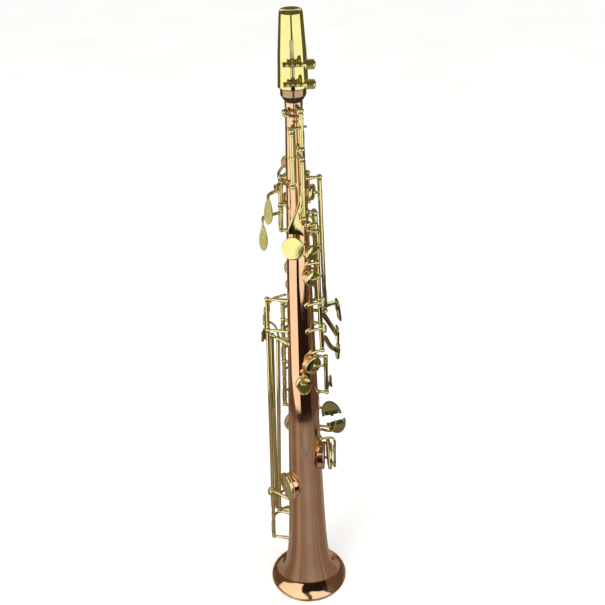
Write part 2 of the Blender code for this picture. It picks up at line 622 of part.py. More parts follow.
# ---------------------------------------------------------------- fittings on the body
def make_fittings():
    rest_z, rest_x, rest_y = 468, -4.9, -20.0
    normal = Vector((-0.12, -1, 0.2)).normalized()
    centre = Vector((rest_x, rest_y, rest_z))
    disc = bar(centre, centre + normal * 2.2, 11.7, 11.2, sides=24)
    foot = outward(-12) * (tube_radius(rest_z) + GAP)
    stem = bar(foot + Vector((0, 0, rest_z)), centre + normal * 1, 3.5, 3.0, sides=10)
    finish_piece("thumb_rest", [disc, stem], "lacquered_brass")

    hook_z = 304
    back = -tube_radius(hook_z) - GAP - 0.4
    base = bar((1.2, back, hook_z), (1.2, back - 3.2, hook_z), 9.0, 8.0, sides=20)
    tongue = plate(outline("half_down", 17, 15), 2.4, facing((1.2, back - 6, hook_z + 3), (0, -0.62, 0.78)))
    tip_slope = bar((1.2, back - 1.5, hook_z + 2), (1.2, back - 7, hook_z + 1.5), 4.0, sides=8)
    hole = bar((1.2, back - 12, hook_z - 4.5), (1.2, back + 5, hook_z - 4.5), 1.6)
    finish_piece("thumb_hook", [base, tip_slope, tongue], "lacquered_brass", [hole])
    screw = [bar((1.2, back + 0.05, hook_z - 4.5), (1.2, back - 4.4, hook_z - 4.5), 1.25),
             bar((1.2, back - 3.5, hook_z - 4.5), (1.2, back - 5.2, hook_z - 4.5), 1.25)]
    finish_piece("thumb_hook_screw", screw, "steel")

    ring_z = 319
    centre = Vector((1.0, -tube_radius(ring_z) - 6.6, ring_z))
    wire = [(4.7 + x, -y) for x, y in arc(1.1, 1.1, 0, 300, 5)]
    ring = turned(wire, 16)
    ring.data.transform(Matrix.Translation(centre * MM) @ Matrix.Rotation(math.pi / 2, 4, "Y"))
    pad = bar((1, -tube_radius(ring_z) - GAP - 0.2, ring_z), (1, -tube_radius(ring_z) - 2.4, ring_z), 2.4, 2.0, sides=8)
    finish_piece("strap_ring", [ring, pad], "lacquered_brass")

    angle, guard_z, reach = 85, 202, 33.0
    disc = bar(around(angle, reach, guard_z), around(angle, reach + 2.0, guard_z), 8.8, sides=16)
    spine = [around(angle, reach + 1.0, z) for z in (216, 174)]
    upper_leg = [spine[0], around(angle + 8, tube_radius(214) + GAP + 1.8, 214)]
    lower_leg = [spine[1], around(angle + 45, reach - 3, 171), around(angle + 45, tube_radius(171) + GAP + 1.8, 171)]
    legs = path_bars(spine, 1.5) + path_bars(upper_leg, 1.5) + path_bars(lower_leg, 1.5)
    finish_piece("low_c_guard", [disc] + legs, "lacquered_brass")


# ---------------------------------------------------------------- mouthpiece end
def make_mouthpiece_end():
    origin = (0, 0, MOUTHPIECE_BOTTOM)
    cork_radius, cork_top = 6.8, 634
    cork = turned([(cork_radius, cork_top), (cork_radius, BODY_TOP + GAP), (4.8, BODY_TOP + GAP), (4.8, cork_top)], 16)
    finish_piece("neck_cork", [cork], "cork")

    bore, body_radius, throat = cork_radius + GAP, 10.6, 4.5
    outside = [(7.2, MOUTHPIECE_TIP), (body_radius, 650), (body_radius, 624), (SHANK_RADIUS, 621),
               (SHANK_RADIUS, 613.5), (9.2, MOUTHPIECE_BOTTOM)]
    inside = [(bore, MOUTHPIECE_BOTTOM), (bore, 636), (throat, 642), (throat, 656), (0.0, 656)]
    body = turned([(0.0, MOUTHPIECE_TIP)] + outside + inside, 20)
    table = plate(outline("oblong", 40, 66), 10, facing((0, -13.2, 660), (0, -1, 0)))
    window = plate(outline("oblong", 8.5, 26), 9, facing((0, -9.7, 666), (0, -1, 0)))
    chamber = plate(outline("oblong", 8.0, 11), 12, facing((0, -8, 658.5), (0, -1, 0)))
    beak = plate(outline("oblong", 60, 60), 30, facing((0, 15.05, 674.3), (0, 0.893, 0.452)))
    finish_piece("mouthpiece", [body], "ebonite", [table, window, chamber, beak], origin)

    reed = plate(outline("oblong", 9.6, 55), 1.0, facing((0, -8.95, 655.5), (0, -1, 0)))
    reed_ramp = plate(outline("oblong", 20, 30), 4, facing((0, -11.1, 671), (0, -1, 0.027)))
    finish_piece("reed", [reed], "cane", [reed_ramp], origin)

    band_in, band_out, band_low, band_high = body_radius + GAP, body_radius + GAP + 0.8, 625, 651
    band = turned([(band_out, band_high), (band_out, band_low), (band_in, band_low), (band_in, band_high)], 28)
    slit_outline = [(-0.6, -20), (0.6, -20), (0.6, 20), (-0.6, 20)]
    solids, holes = [band], [plate(slit_outline, 30, facing((0, -22, 640), (0, -1, 0)))]
    lug_y = -18.0
    for z in SCREW_HEIGHTS:
        for side in (-1, 1):
            tab_outline = [(-0.5, -3), (0.5, -3), (0.5, 3), (-0.5, 3)]
            solids.append(plate(tab_outline, 6, facing((side * 1.15, -14.1, z), (0, -1, 0))))
            solids.append(bar((side * 0.7, lug_y, z), (side * 8.6, lug_y, z), 2.3))
        holes.append(bar((-7.2, lug_y, z), (12, lug_y, z), 1.35, sides=6))
    finish_piece("ligature", solids, "lacquered_brass", holes, origin)
    for name, z in zip(("ligature_screw_upper", "ligature_screw_lower"), SCREW_HEIGHTS):
        shank = bar((-6.8, lug_y, z), (11, lug_y, z), 1.0, sides=6)
        head = bar((9.4, lug_y, z), (20.5, lug_y, z), 4.2, 4.6, sides=12)
        finish_piece(name, [shank, head], "lacquered_brass", origin=(0, lug_y, z))

    skin = 0.6
    outside = [(CAP_TOP_RADIUS - 3.4, CAP_TOP), (CAP_TOP_RADIUS - 1.2, CAP_TOP - 0.8), (CAP_TOP_RADIUS, CAP_TOP - 3.2),
               (13.0, 652), (CAP_RADIUS, CAP_BOTTOM)]
    inside = [(r - skin, z) for r, z in reversed(outside[2:])]
    inside.append((CAP_TOP_RADIUS - 2.2, CAP_TOP - 1.6))
    cap = turned([(0.0, CAP_TOP)] + outside + inside + [(0.0, CAP_TOP - 1.2)], 24)
    slot = plate([(-1.9, -32), (1.9, -32), (1.9, 14), (-1.9, 14)], 12, facing((0, -15, 652), (0, -1, 0)))
    finish_piece("mouthpiece_cap", [cap], "lacquered_brass", [slot], origin)


def rest_turn(spec):
    """The turn about its hinge line that brings a key from closed to its rest position."""
    pivot = on(spec["line"], 0)
    spin = Matrix.Rotation(math.radians(swing_of(spec)[2]), 4, axis_of(spec["line"]))
    return Matrix.Translation(pivot) @ spin @ Matrix.Translation(-pivot)


def roller_axis(spec):
    """Centre and direction of the roller in a key's half-moon plate, at rest."""
    centre, along, _ = roller_place(spec["touches"][0])
    turn = rest_turn(spec)
    return turn @ centre, turn.to_3x3() @ along


def make_rollers():
    for name in ("low_eb_roller", "low_c_roller"):
        centre, along = roller_axis(KEYS[name.replace("roller", "key")])
        half = along * ROLLER_LENGTH / 2
        finish_piece(name, [bar(centre - half, centre + half, ROLLER_RADIUS, sides=10)], "roller_black", (), centre)


def make_rods():
    for name, (line, low, high) in RODS.items():
        finish_piece(name, [bar(on(line, low), on(line, high), ROD_RADIUS)], "steel", (), on(line, low))


def clear_scene():
    for obj in list(bpy.data.objects):
        bpy.data.objects.remove(obj)


clear_scene()
MATERIALS = {name: make_material(name) for name in COLOURS}
SAXOPHONE = bpy.data.collections.new("soprano_saxophone")
bpy.context.scene.collection.children.link(SAXOPHONE)
make_body()
make_fittings()
make_mouthpiece_end()
make_rollers()
make_rods()
for key_name, key_spec in KEYS.items():
    make_key(key_name, key_spec)
for pad_owner in PADS_MODELLED:
    make_pad(pad_owner, KEYS[pad_owner])
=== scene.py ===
"""Looks of the soprano saxophone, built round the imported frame.

Design values are in millimetres in the row frame: +Z up the bore, -Y the thumb side, +X the player's
right. A place round the tube is an angle in degrees from the back (-Y), +90 being the player's right.
"""
import math

import bmesh
import bpy
from mathutils import Matrix, Vector


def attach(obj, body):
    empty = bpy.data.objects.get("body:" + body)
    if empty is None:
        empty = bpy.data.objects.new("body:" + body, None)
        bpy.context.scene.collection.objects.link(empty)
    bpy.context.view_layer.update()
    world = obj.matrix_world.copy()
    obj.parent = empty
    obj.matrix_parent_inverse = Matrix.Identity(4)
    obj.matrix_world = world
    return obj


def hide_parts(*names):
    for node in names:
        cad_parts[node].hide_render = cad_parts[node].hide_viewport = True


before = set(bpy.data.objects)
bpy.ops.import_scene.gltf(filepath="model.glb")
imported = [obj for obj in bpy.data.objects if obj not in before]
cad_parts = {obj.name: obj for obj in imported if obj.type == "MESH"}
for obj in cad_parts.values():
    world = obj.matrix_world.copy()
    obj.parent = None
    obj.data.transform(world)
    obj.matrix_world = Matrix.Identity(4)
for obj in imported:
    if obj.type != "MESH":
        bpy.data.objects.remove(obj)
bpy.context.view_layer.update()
MM = 0.001
BODY = "instrument_body"

# ---------------------------------------------------------------- shared dimensions
BODY_TOP, BELL_JOINT, WALL = 609.0, 252.0, 1.2
NECK_RADIUS, CONE_SLOPE = 8.0, 0.0253
BELL_RADIUS, FLARE_LENGTH, FLARE_POWER, BEAD_RADIUS = 46.0, 27.8, 2.2, 1.0
TUBE_RADIUS, ROD_RADIUS, GAP, PLATE_DEPTH = 2.2, 0.9, 0.3, 1.8
PAD_DEPTH, CUP_OVERHANG, RESONATOR_LIMIT = 4.6, 1.4, 7.0
POST_HEAD_HEIGHT = 4.0
ROLLER_RADIUS, ROLLER_LENGTH, ROLLER_INSET = 2.1, 15.0, 2.9
CAP_TOP, CAP_BOTTOM, CAP_RADIUS, CAP_TOP_RADIUS = 690.0, 622.0, 14.2, 10.6
MOUTHPIECE_BOTTOM, MOUTHPIECE_TIP, SHANK_RADIUS = 610.0, 683.0, 11.8
SCREW_HEIGHTS = (646, 628.5)


def cone_radius(z):
    return NECK_RADIUS + CONE_SLOPE * (BODY_TOP - 3 - z)


def tube_radius(z):
    flare = BELL_RADIUS - BEAD_RADIUS - cone_radius(0)
    return cone_radius(z) + flare / (1 + max(z, 0) / FLARE_LENGTH) ** FLARE_POWER


def outward(angle):
    a = math.radians(angle)
    return Vector((math.sin(a), -math.cos(a), 0))


def around(angle, radius, z):
    return outward(angle) * radius + Vector((0, 0, z))


def hinge_line(x, y, z, spread=CONE_SLOPE):
    return Vector((x, y, z)), Vector((0, 0, 1)) - Vector((x, y, 0)).normalized() * spread


def on(line, z):
    point, rise = line
    return point + rise * (z - point.z)


OCTAVE_RIGHT = hinge_line(6.2, -15.0, 550, 0)
OCTAVE_LEFT = hinge_line(-3.2, -14.8, 550, 0)
LOWER_VENT_LINE = hinge_line(17.5, -6.5, 490)
PALM_LINE = hinge_line(-14.8, 4.0, 532)
FRONT_F_LINE = hinge_line(11.0, 12.5, 518, 0)
UPPER_STACK_LINE = hinge_line(16.6, 12.5, 484, 0.012)
LOWER_STACK_LINE = hinge_line(-18.5, 13.0, 380, 0.02)
SIDE_E_LINE = hinge_line(22.3, 6.0, 530, 0.025)
SIDE_C_LINE = hinge_line(19.0, 2.5, 479, 0.012)
SIDE_BB_LINE = hinge_line(19.6, -6.0, 412, 0.03)
TRILL_LINE = hinge_line(25.2, -3.0, 329, 0.01)
RIGHT_FINGER_LINE = hinge_line(15.5, 18.5, 240, 0.012)
TABLE_OUTER_LINE = hinge_line(-34.3, 8.0, 397, 0.022)
TABLE_INNER_LINE = hinge_line(-24.8, 8.0, 342, 0.036)
TABLE_FRONT_LINE = hinge_line(-31.5, 15.0, 347, 0.022)


def cup(z, angle, diameter, rise=3.2, arm_z=None):
    """A key cup over a tone hole; rise is the chimney's height and arm_z where its arm starts."""
    return {"z": z, "angle": angle, "diameter": diameter, "rise": rise, "arm_z": arm_z or z}


def touch(shape, centre, normal, size, route=(), spin=0):
    """A finger plate: width across and height along it, reached by an arm through these points."""
    return {"shape": shape, "centre": centre, "normal": normal, "size": size, "route": route, "spin": spin}


def key(line, tube, lift, stands, cups=(), touches=(), bars=(), breaks=(), press=None):
    """One key: its hinge line, the reach of its hinge tube, how far its cup travels, and how it stands
    at rest: open, closed, or as a lever with no cup. breaks are where its tube steps round a post, and
    press, the sense and travel of a lever, is kept but not used."""
    return {
        "line": line, "tube": tube, "lift": lift, "stands": stands, "cups": list(cups),
        "touches": list(touches), "bars": list(bars), "breaks": breaks, "press": press,
    }


def button(z, angle, diameter=13.0, rise=3.2):
    """A round finger button on a cup: its plate stands a little above the cup's disc."""
    reach = tube_radius(z) + rise + GAP + PAD_DEPTH + 3.6
    return touch("round", tuple(around(angle, reach, z)), tuple(outward(angle)), (diameter, diameter))


KEYS = {
    "upper_vent_key": key(
        OCTAVE_RIGHT, (570, 601), 2.6, "closed", [cup(600, -40, 7.6, 1.8, 598)],
        bars=[
            ((6.2, -17.4, 588.5), (-5.5, -18.4, 588.5), 1.1),
            ((6.2, -15.0, 588.5), (10.5, -15.0, 588.5), 1.1),
        ],
    ),
    "octave_rocker": key(
        OCTAVE_LEFT, (533, 582), 0, "lever", press=(1, 8.0),
        bars=[((-3.2, -14.8, 557), (-3.2, -14.8, 560), 3.0), ((-3.2, -14.8, 536), (-8.5, -15.2, 536), 1.1)],
    ),
    "thumb_octave_lever": key(
        OCTAVE_RIGHT, (500, 555), 0, "lever", press=(-1, 12.0),
        touches=[touch("leaf", (-1.5, -19.0, 496), (0, -1, 0), (15, 30))],
        bars=[((6.2, -15.0, 512), (1.5, -19.0, 504), 1.5), ((6.2, -15.0, 527), (10.5, -15.0, 527), 1.1)],
    ),
    "lower_vent_key": key(LOWER_VENT_LINE, (482, 496), 2.4, "closed", [cup(489, 40, 8.0, 2.8)]),
    "palm_f_key": key(
        PALM_LINE, (523.6, 529.2), 2.6, "closed", [cup(545, -150, 14, arm_z=526.4)],
        [touch("round", (-20.5, -7, 526.4), (-1, 0, 0), (9, 6), [(-17.5, 0, 526.4)])],
    ),
    "palm_eb_key": key(
        PALM_LINE, (507, 523), 2.6, "closed", [cup(527, -150, 15, arm_z=513)],
        [touch("teardrop", (-27.4, -15, 506), (-0.45, -1, 0.1), (11, 27),
               [(-23, -2, 519.5), (-27, -10, 519)])],
    ),
    "palm_d_key": key(
        PALM_LINE, (479.2, 501.6), 2.6, "closed", [cup(507, -152, 15, arm_z=497)],
        [touch("teardrop", (-33.5, -15, 477.5), (-0.45, -1, 0.1), (11, 26),
               [(-28, -2, 495.5), (-33.5, -6.5, 493.8)])],
    ),
    "front_f_key": key(
        FRONT_F_LINE, (506, 530), 0, "lever", press=(1, 7.0),
        touches=[touch("teardrop", (4.5, 20.0, 502), (0, 1, 0), (10, 18), [(10, 18.5, 508)])],
        bars=[((11, 12.5, 526), (5.0, 19.0, 533), 1.2)],
    ),
    "c_vent_key": key(UPPER_STACK_LINE, (478, 489.5), 2.4, "open", [cup(484, 178, 11)]),
    "b_key": key(UPPER_STACK_LINE, (453, 473), 2.6, "open", [cup(465, -165, 14)], [button(465, -165, 12.5)]),
    "bis_key": key(UPPER_STACK_LINE, (434, 452.4), 2.6, "open", [cup(445, -158, 15)]),
    "a_key": key(UPPER_STACK_LINE, (414, 433.4), 2.8, "open", [cup(426, -155, 17)], [button(426, -155)]),
    "g_key": key(UPPER_STACK_LINE, (394, 413.4), 3.0, "open", [cup(406, -160, 19)], [button(406, -160)]),
    "gs_key": key(LOWER_STACK_LINE, (370.2, 386), 3.0, "closed", [cup(379, -170, 20)]),
    "fsharp_key": key(LOWER_STACK_LINE, (341.6, 365.2), 3.4, "open", [cup(352, -178, 22)]),
    "f_key": key(LOWER_STACK_LINE, (316.7, 341), 3.6, "open", [cup(326, -176, 24)], [button(326, -176, 14)]),
    "e_key": key(LOWER_STACK_LINE, (284, 311.3), 3.8, "open", [cup(297, -175, 25)], [button(297, -175, 14)]),
    "d_key": key(LOWER_STACK_LINE, (257, 283.4), 4.0, "open", [cup(267, -173, 26)], [button(267, -173, 14)]),
    "side_e_key": key(
        SIDE_E_LINE, (383, 528), 2.8, "closed", [cup(520, 72, 16, arm_z=513)],
        [touch("oblong", (40, 15, 376), (1, 0.25, 0.12), (12, 26), [(31, 10.5, 386), (37.5, 13.5, 385)])],
    ),
    "side_c_key": key(
        SIDE_C_LINE, (371, 476), 2.8, "closed", [cup(458, 48, 16)],
        [touch("oblong", (38.6, 14, 346), (1, 0.2, 0), (12, 20),
               [(24, 8, 374), (29, 10, 365), (37, 13, 348)])],
    ),
    "side_bb_key": key(
        SIDE_BB_LINE, (342.4, 441.5), 2.8, "closed", [cup(430, 42, 16)],
        [touch("oblong", (39, 12, 326), (1, 0.2, -0.1), (12, 19),
               [(25, -2, 352), (31, 4, 337), (37.5, 10, 328)])],
        breaks=(398, 367),
    ),
    "fsharp_trill_key": key(
        TRILL_LINE, (285, 326), 3.0, "closed", [cup(327, 35, 20, 2.6, arm_z=321)],
        [touch("round", (31, 9, 288), (1, 0.1, 0), (14, 14), [(28.5, 3, 288)])],
    ),
    "low_eb_key": key(
        RIGHT_FINGER_LINE, (240.6, 262), 4.5, "closed", [cup(226, -155, 28, arm_z=243.5)],
        [touch("half_up", (32, 13, 238.5), (0, 1, 0.15), (22.5, 22), [(20, 18, 245), (26, 13.2, 247)], -12)],
    ),
    "low_c_key": key(
        RIGHT_FINGER_LINE, (190, 240), 3.8, "open", [cup(192, 85, 35, 3.6)],
        [touch("half_down", (35.8, 13, 227), (0, 1, 0.15), (22.5, 21),
               [(20, 18, 213), (31, 13.8, 213)], -12)],
        [((16, 18.3, 219), (29, 13.4, 219), 1.3)],
    ),
    "gs_touch": key(
        TABLE_OUTER_LINE, (361, 393), 0, "lever", press=(-1, 9.0),
        touches=[touch("oblong", (-36, 24, 372.5), (-1, 0.35, 0), (15, 12), [(-35.5, 14, 372.5)])],
        bars=[((-34.5, 8, 388), (-27, 13, 394), 1.3), ((-27.5, 12.8, 394), (-15.5, 15.5, 396), 1.3)],
    ),
    "low_csharp_key": key(
        TABLE_INNER_LINE, (99, 344), 4.5, "closed", [cup(154, -65, 33, 1.8, 148)],
        [touch("oblong", (-38.5, 31, 358), (-1, 0.35, 0), (11, 13),
               [(-24, 16, 341), (-28, 25, 352), (-36.5, 30, 356)])],
    ),
    "low_b_key": key(
        TABLE_FRONT_LINE, (100, 344), 5.0, "open", [cup(114, -172, 34, 4.5)],
        [touch("oblong", (-37, 20.5, 358), (-1, 0.35, 0), (8, 13), [(-34.2, 18.8, 342), (-35.8, 20.5, 352)])],
    ),
    "low_bb_key": key(
        TABLE_OUTER_LINE, (59, 355), 5.0, "open", [cup(76, -172, 35, 4.5, 90)],
        [touch("oblong", (-38.8, 23, 343.5), (-1, 0.35, 0), (18, 12), [(-37, 13, 343.5)])],
        breaks=(130,),
    ),
}

# posts: hinge line, height, and the angle of the foot where it isn't straight below the head
POSTS = [
    (OCTAVE_RIGHT, 604), (OCTAVE_RIGHT, 567), (OCTAVE_RIGHT, 558), (OCTAVE_RIGHT, 497),
    (OCTAVE_LEFT, 585), (OCTAVE_LEFT, 530), (LOWER_VENT_LINE, 499), (LOWER_VENT_LINE, 479),
    (PALM_LINE, 533), (PALM_LINE, 504.3), (PALM_LINE, 476.5), (FRONT_F_LINE, 533), (FRONT_F_LINE, 503),
    (UPPER_STACK_LINE, 492.3), (UPPER_STACK_LINE, 475.5), (UPPER_STACK_LINE, 391.3),
    (LOWER_STACK_LINE, 389), (LOWER_STACK_LINE, 367.7), (LOWER_STACK_LINE, 314), (LOWER_STACK_LINE, 254.5),
    (SIDE_E_LINE, 531), (SIDE_E_LINE, 380, 130), (SIDE_C_LINE, 479), (SIDE_C_LINE, 368.3),
    (SIDE_BB_LINE, 444.2, 42), (SIDE_BB_LINE, 398, 30), (SIDE_BB_LINE, 367, 30), (SIDE_BB_LINE, 339.7, 40),
    (TRILL_LINE, 329), (TRILL_LINE, 282.3), (RIGHT_FINGER_LINE, 264.7), (RIGHT_FINGER_LINE, 187.3),
    (TABLE_OUTER_LINE, 396), (TABLE_OUTER_LINE, 358), (TABLE_INNER_LINE, 347), (TABLE_FRONT_LINE, 347, -75),
    (TABLE_OUTER_LINE, 130, -75), (TABLE_OUTER_LINE, 56), (TABLE_INNER_LINE, 96), (TABLE_FRONT_LINE, 97),
]

# steel rods: hinge line, lowest and highest point
RODS = {
    "octave_right_rod": (OCTAVE_RIGHT, 495, 606), "octave_left_rod": (OCTAVE_LEFT, 528, 587),
    "palm_rod": (PALM_LINE, 474.5, 535), "upper_stack_rod": (UPPER_STACK_LINE, 389.3, 494.3),
    "lower_stack_rod": (LOWER_STACK_LINE, 252.6, 391), "side_e_rod": (SIDE_E_LINE, 378, 533),
    "side_c_rod": (SIDE_C_LINE, 366.3, 481), "side_bb_rod": (SIDE_BB_LINE, 337.7, 446.2),
    "trill_rod": (TRILL_LINE, 280.3, 331), "right_finger_rod": (RIGHT_FINGER_LINE, 185.3, 266.7),
    "table_outer_rod": (TABLE_OUTER_LINE, 54, 398), "table_inner_rod": (TABLE_INNER_LINE, 94, 349),
    "table_front_rod": (TABLE_FRONT_LINE, 95, 349),
}


# ---------------------------------------------------------------- materials
def noise(tree, scale, detail=3.0, stretch=(1, 1, 1)):
    """A noise texture in object space, in metres, stretched along an axis."""
    place = tree.nodes.new("ShaderNodeTexCoord")
    mapping = tree.nodes.new("ShaderNodeMapping")
    mapping.inputs["Scale"].default_value = stretch
    texture = tree.nodes.new("ShaderNodeTexNoise")
    texture.inputs["Scale"].default_value = scale
    texture.inputs["Detail"].default_value = detail
    tree.links.new(place.outputs["Object"], mapping.inputs["Vector"])
    tree.links.new(mapping.outputs["Vector"], texture.inputs["Vector"])
    return texture.outputs["Fac"]


def ramp(tree, value, stops):
    """A colour ramp of (position, colour) stops; a single number stands for a grey."""
    node = tree.nodes.new("ShaderNodeValToRGB")
    elements = node.color_ramp.elements
    while len(elements) < len(stops):
        elements.new(0.5)
    for element, (position, colour) in zip(elements, stops):
        element.position = position
        element.color = (*colour, 1) if isinstance(colour, tuple) else (colour, colour, colour, 1)
    tree.links.new(value, node.inputs["Fac"])
    return node.outputs["Color"]


def bump(tree, shader, value, height, strength=1.0):
    node = tree.nodes.new("ShaderNodeBump")
    node.inputs["Distance"].default_value = height * MM
    node.inputs["Strength"].default_value = strength
    tree.links.new(value, node.inputs["Height"])
    tree.links.new(node.outputs["Normal"], shader.inputs["Normal"])


def new_material(name, metallic=0.0, coat=0.0):
    material = bpy.data.materials.new(name)
    material.use_nodes = True
    shader = material.node_tree.nodes["Principled BSDF"]
    shader.inputs["Metallic"].default_value = metallic
    shader.inputs["Coat Weight"].default_value = coat
    shader.inputs["Coat Roughness"].default_value = 0.06
    return material, material.node_tree, shader


def metal(name, light, dark, smooth, rough, coat=0.3, grain=0.0, patch=60):
    """Lacquered or bare metal: two tones in soft patches, uneven gloss, and a faint surface ripple."""
    material, tree, shader = new_material(name, 1.0, coat)
    patches = noise(tree, patch, 4)
    tree.links.new(ramp(tree, patches, [(0.35, dark), (0.62, light)]), shader.inputs["Base Color"])
    smudges = noise(tree, 210, 5, (1, 1, 0.35))
    tree.links.new(ramp(tree, smudges, [(0.3, smooth), (0.75, rough)]), shader.inputs["Roughness"])
    fine = noise(tree, 900 if grain else 320, 2, (1, 1, 0.08) if grain else (1, 1, 1))
    bump(tree, shader, fine, 0.012 + grain, 0.5)
    return material


def fibre(name, light, dark, roughness, scale, height, stretch=(1, 1, 1)):
    """Leather, cork, felt or cane: mottled colour with a matching surface relief."""
    material, tree, shader = new_material(name)
    grain = noise(tree, scale, 6, stretch)
    tree.links.new(ramp(tree, grain, [(0.3, dark), (0.7, light)]), shader.inputs["Base Color"])
    tree.links.new(ramp(tree, grain, [(0.2, roughness - 0.12), (0.8, roughness)]), shader.inputs["Roughness"])
    bump(tree, shader, grain, height, 0.8)
    return material


def hard_rubber(name):
    material, tree, shader = new_material(name, coat=0.4)
    mottle = noise(tree, 140, 5)
    blacks = [(0.3, (0.006, 0.005, 0.005)), (0.8, (0.02, 0.014, 0.011))]
    tree.links.new(ramp(tree, mottle, blacks), shader.inputs["Base Color"])
    tree.links.new(ramp(tree, mottle, [(0.3, 0.1), (0.8, 0.2)]), shader.inputs["Roughness"])
    bump(tree, shader, noise(tree, 700, 2), 0.01, 0.4)
    return material


def pearl(name):
    material, tree, shader = new_material(name, coat=0.6)
    clouds = noise(tree, 260, 5, (1, 1, 0.5))
    sheen = [(0.3, (0.62, 0.66, 0.62)), (0.5, (0.86, 0.82, 0.8)), (0.7, (0.93, 0.92, 0.86))]
    tree.links.new(ramp(tree, clouds, sheen), shader.inputs["Base Color"])
    tree.links.new(ramp(tree, clouds, [(0.3, 0.16), (0.8, 0.28)]), shader.inputs["Roughness"])
    bump(tree, shader, clouds, 0.02, 0.4)
    return material


COPPER = metal("rose_copper", (0.83, 0.56, 0.39), (0.76, 0.48, 0.32), 0.05, 0.11, 0.15, 0, 26)
BELL_COPPER = metal("bell_copper", (0.82, 0.56, 0.38), (0.74, 0.475, 0.31), 0.06, 0.13, 0.15, 0, 22)
CHIMNEY_COPPER = metal("chimney_copper", (0.80, 0.42, 0.22), (0.68, 0.32, 0.15), 0.1, 0.2, 0.15)
BRASS = metal("key_brass", (0.76, 0.70, 0.36), (0.68, 0.62, 0.28), 0.06, 0.14, 0.15)
CAP_BRASS = metal("cap_brass", (0.80, 0.76, 0.36), (0.76, 0.71, 0.31), 0.04, 0.09, 0.15, 0, 40)
POST_BRASS = metal("post_brass", (0.79, 0.74, 0.42), (0.72, 0.66, 0.33), 0.06, 0.14, 0.15)
BRONZE = metal("shank_bronze", (0.46, 0.31, 0.22), (0.38, 0.25, 0.17), 0.06, 0.12, 0.1)
# finger plates: a darker copy of the key brass, painted shade for the dark reflections the plates show
SHADED_PLATE_BRASS = metal("plate_brass_painted_shade", (0.44, 0.41, 0.19), (0.36, 0.33, 0.14), 0.08, 0.18, 0.15)
STEEL = metal("ground_steel", (0.62, 0.62, 0.63), (0.5, 0.5, 0.52), 0.18, 0.3, 0, 0.01)
BLUED = metal("blued_spring", (0.22, 0.25, 0.36), (0.15, 0.18, 0.29), 0.2, 0.3, 0)
RUBBER = hard_rubber("hard_rubber")
ROLLER_BLACK = hard_rubber("roller_black")
LEATHER = fibre("pad_leather", (0.62, 0.36, 0.17), (0.47, 0.25, 0.11), 0.62, 900, 0.04)
FELT = fibre("key_felt", (0.16, 0.15, 0.14), (0.07, 0.065, 0.06), 0.95, 1500, 0.06)
CORK = fibre("cork", (0.68, 0.47, 0.28), (0.36, 0.21, 0.11), 0.85, 600, 0.08)
CANE = fibre("cane", (0.83, 0.71, 0.43), (0.72, 0.58, 0.3), 0.6, 500, 0.03, (1, 1, 0.04))
PEARL = pearl("pearl")


# ---------------------------------------------------------------- shapes, in millimetres
def finish_mesh(bm, name, material, body, replaced=(), angle=38, turn=None):
    """A named piece from a bmesh, riding on a CAD body and standing for CAD nodes."""
    if turn is not None:
        bmesh.ops.transform(bm, matrix=turn, verts=bm.verts)
    bmesh.ops.scale(bm, vec=(MM, MM, MM), verts=bm.verts)
    mesh = bpy.data.meshes.new(name)
    bm.to_mesh(mesh)
    bm.free()
    return finish_object(bpy.data.objects.new(name, mesh), name, material, body, replaced, angle)


def finish_object(obj, name, material, body, replaced=(), angle=38):
    """Name, material, shading and body of a piece; edges sharper than angle stay crisp."""
    if not obj.users_collection:
        bpy.context.scene.collection.objects.link(obj)
    obj.name = obj.data.name = name
    obj.data.materials.clear()
    obj.data.materials.append(material)
    obj.data.shade_smooth()
    obj.data.set_sharp_from_angle(angle=math.radians(angle))
    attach(obj, body)
    if replaced:
        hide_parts(*replaced)
    return obj


def place_at(centre, axis):
    """Place whose local Z runs along axis."""
    turn = Vector((0, 0, 1)).rotation_difference(Vector(axis)).to_matrix().to_4x4()
    return Matrix.Translation(Vector(centre)) @ turn


def facing(centre, normal, spin=0.0):
    """Place of a plate: its depth along normal, its height near +Z and then turned by spin degrees."""
    axis = Vector(normal).normalized()
    side = Vector((0, 0, 1)).cross(axis).normalized() if abs(axis.z) < 0.99 else Vector((1, 0, 0))
    place = Matrix((side, axis.cross(side), axis)).transposed().to_4x4()
    place.translation = Vector(centre)
    return place @ Matrix.Rotation(math.radians(spin), 4, "Z")


def filleted(points, radius, steps=3, closed=False):
    """The polyline with each sharp corner rounded."""
    points = [Vector((*p, 0)) for p in points]
    result = []
    last = len(points) - 1
    for i, corner in enumerate(points):
        if not closed and i in (0, last):
            result.append(corner)
            continue
        before, after = points[i - 1] - corner, points[(i + 1) % len(points)] - corner
        if before.length < 1e-6 or after.length < 1e-6 or before.angle(after) > math.radians(160):
            result.append(corner)
            continue
        cut = min(radius, before.length * 0.45, after.length * 0.45)
        start, end = corner + before.normalized() * cut, corner + after.normalized() * cut
        for k in range(steps + 1):
            t = k / steps
            result.append(start.lerp(corner, t).lerp(corner.lerp(end, t), t))
    return [(p.x, p.y) for p in result]


def supported(profile, margin=0.3):
    """Extra points near the ends of each long straight run, so that its shading stays straight."""
    points = []
    for first, second in zip(profile, profile[1:]):
        points.append(first)
        run = Vector(second) - Vector(first)
        if run.length > 6 * margin:
            step = run.normalized() * margin
            points += [tuple(Vector(first) + step), tuple(Vector(second) - step)]
    return points + [profile[-1]]


def circle(sides):
    """The angles of evenly spaced points round a circle."""
    return [2 * math.pi * k / sides for k in range(sides)]


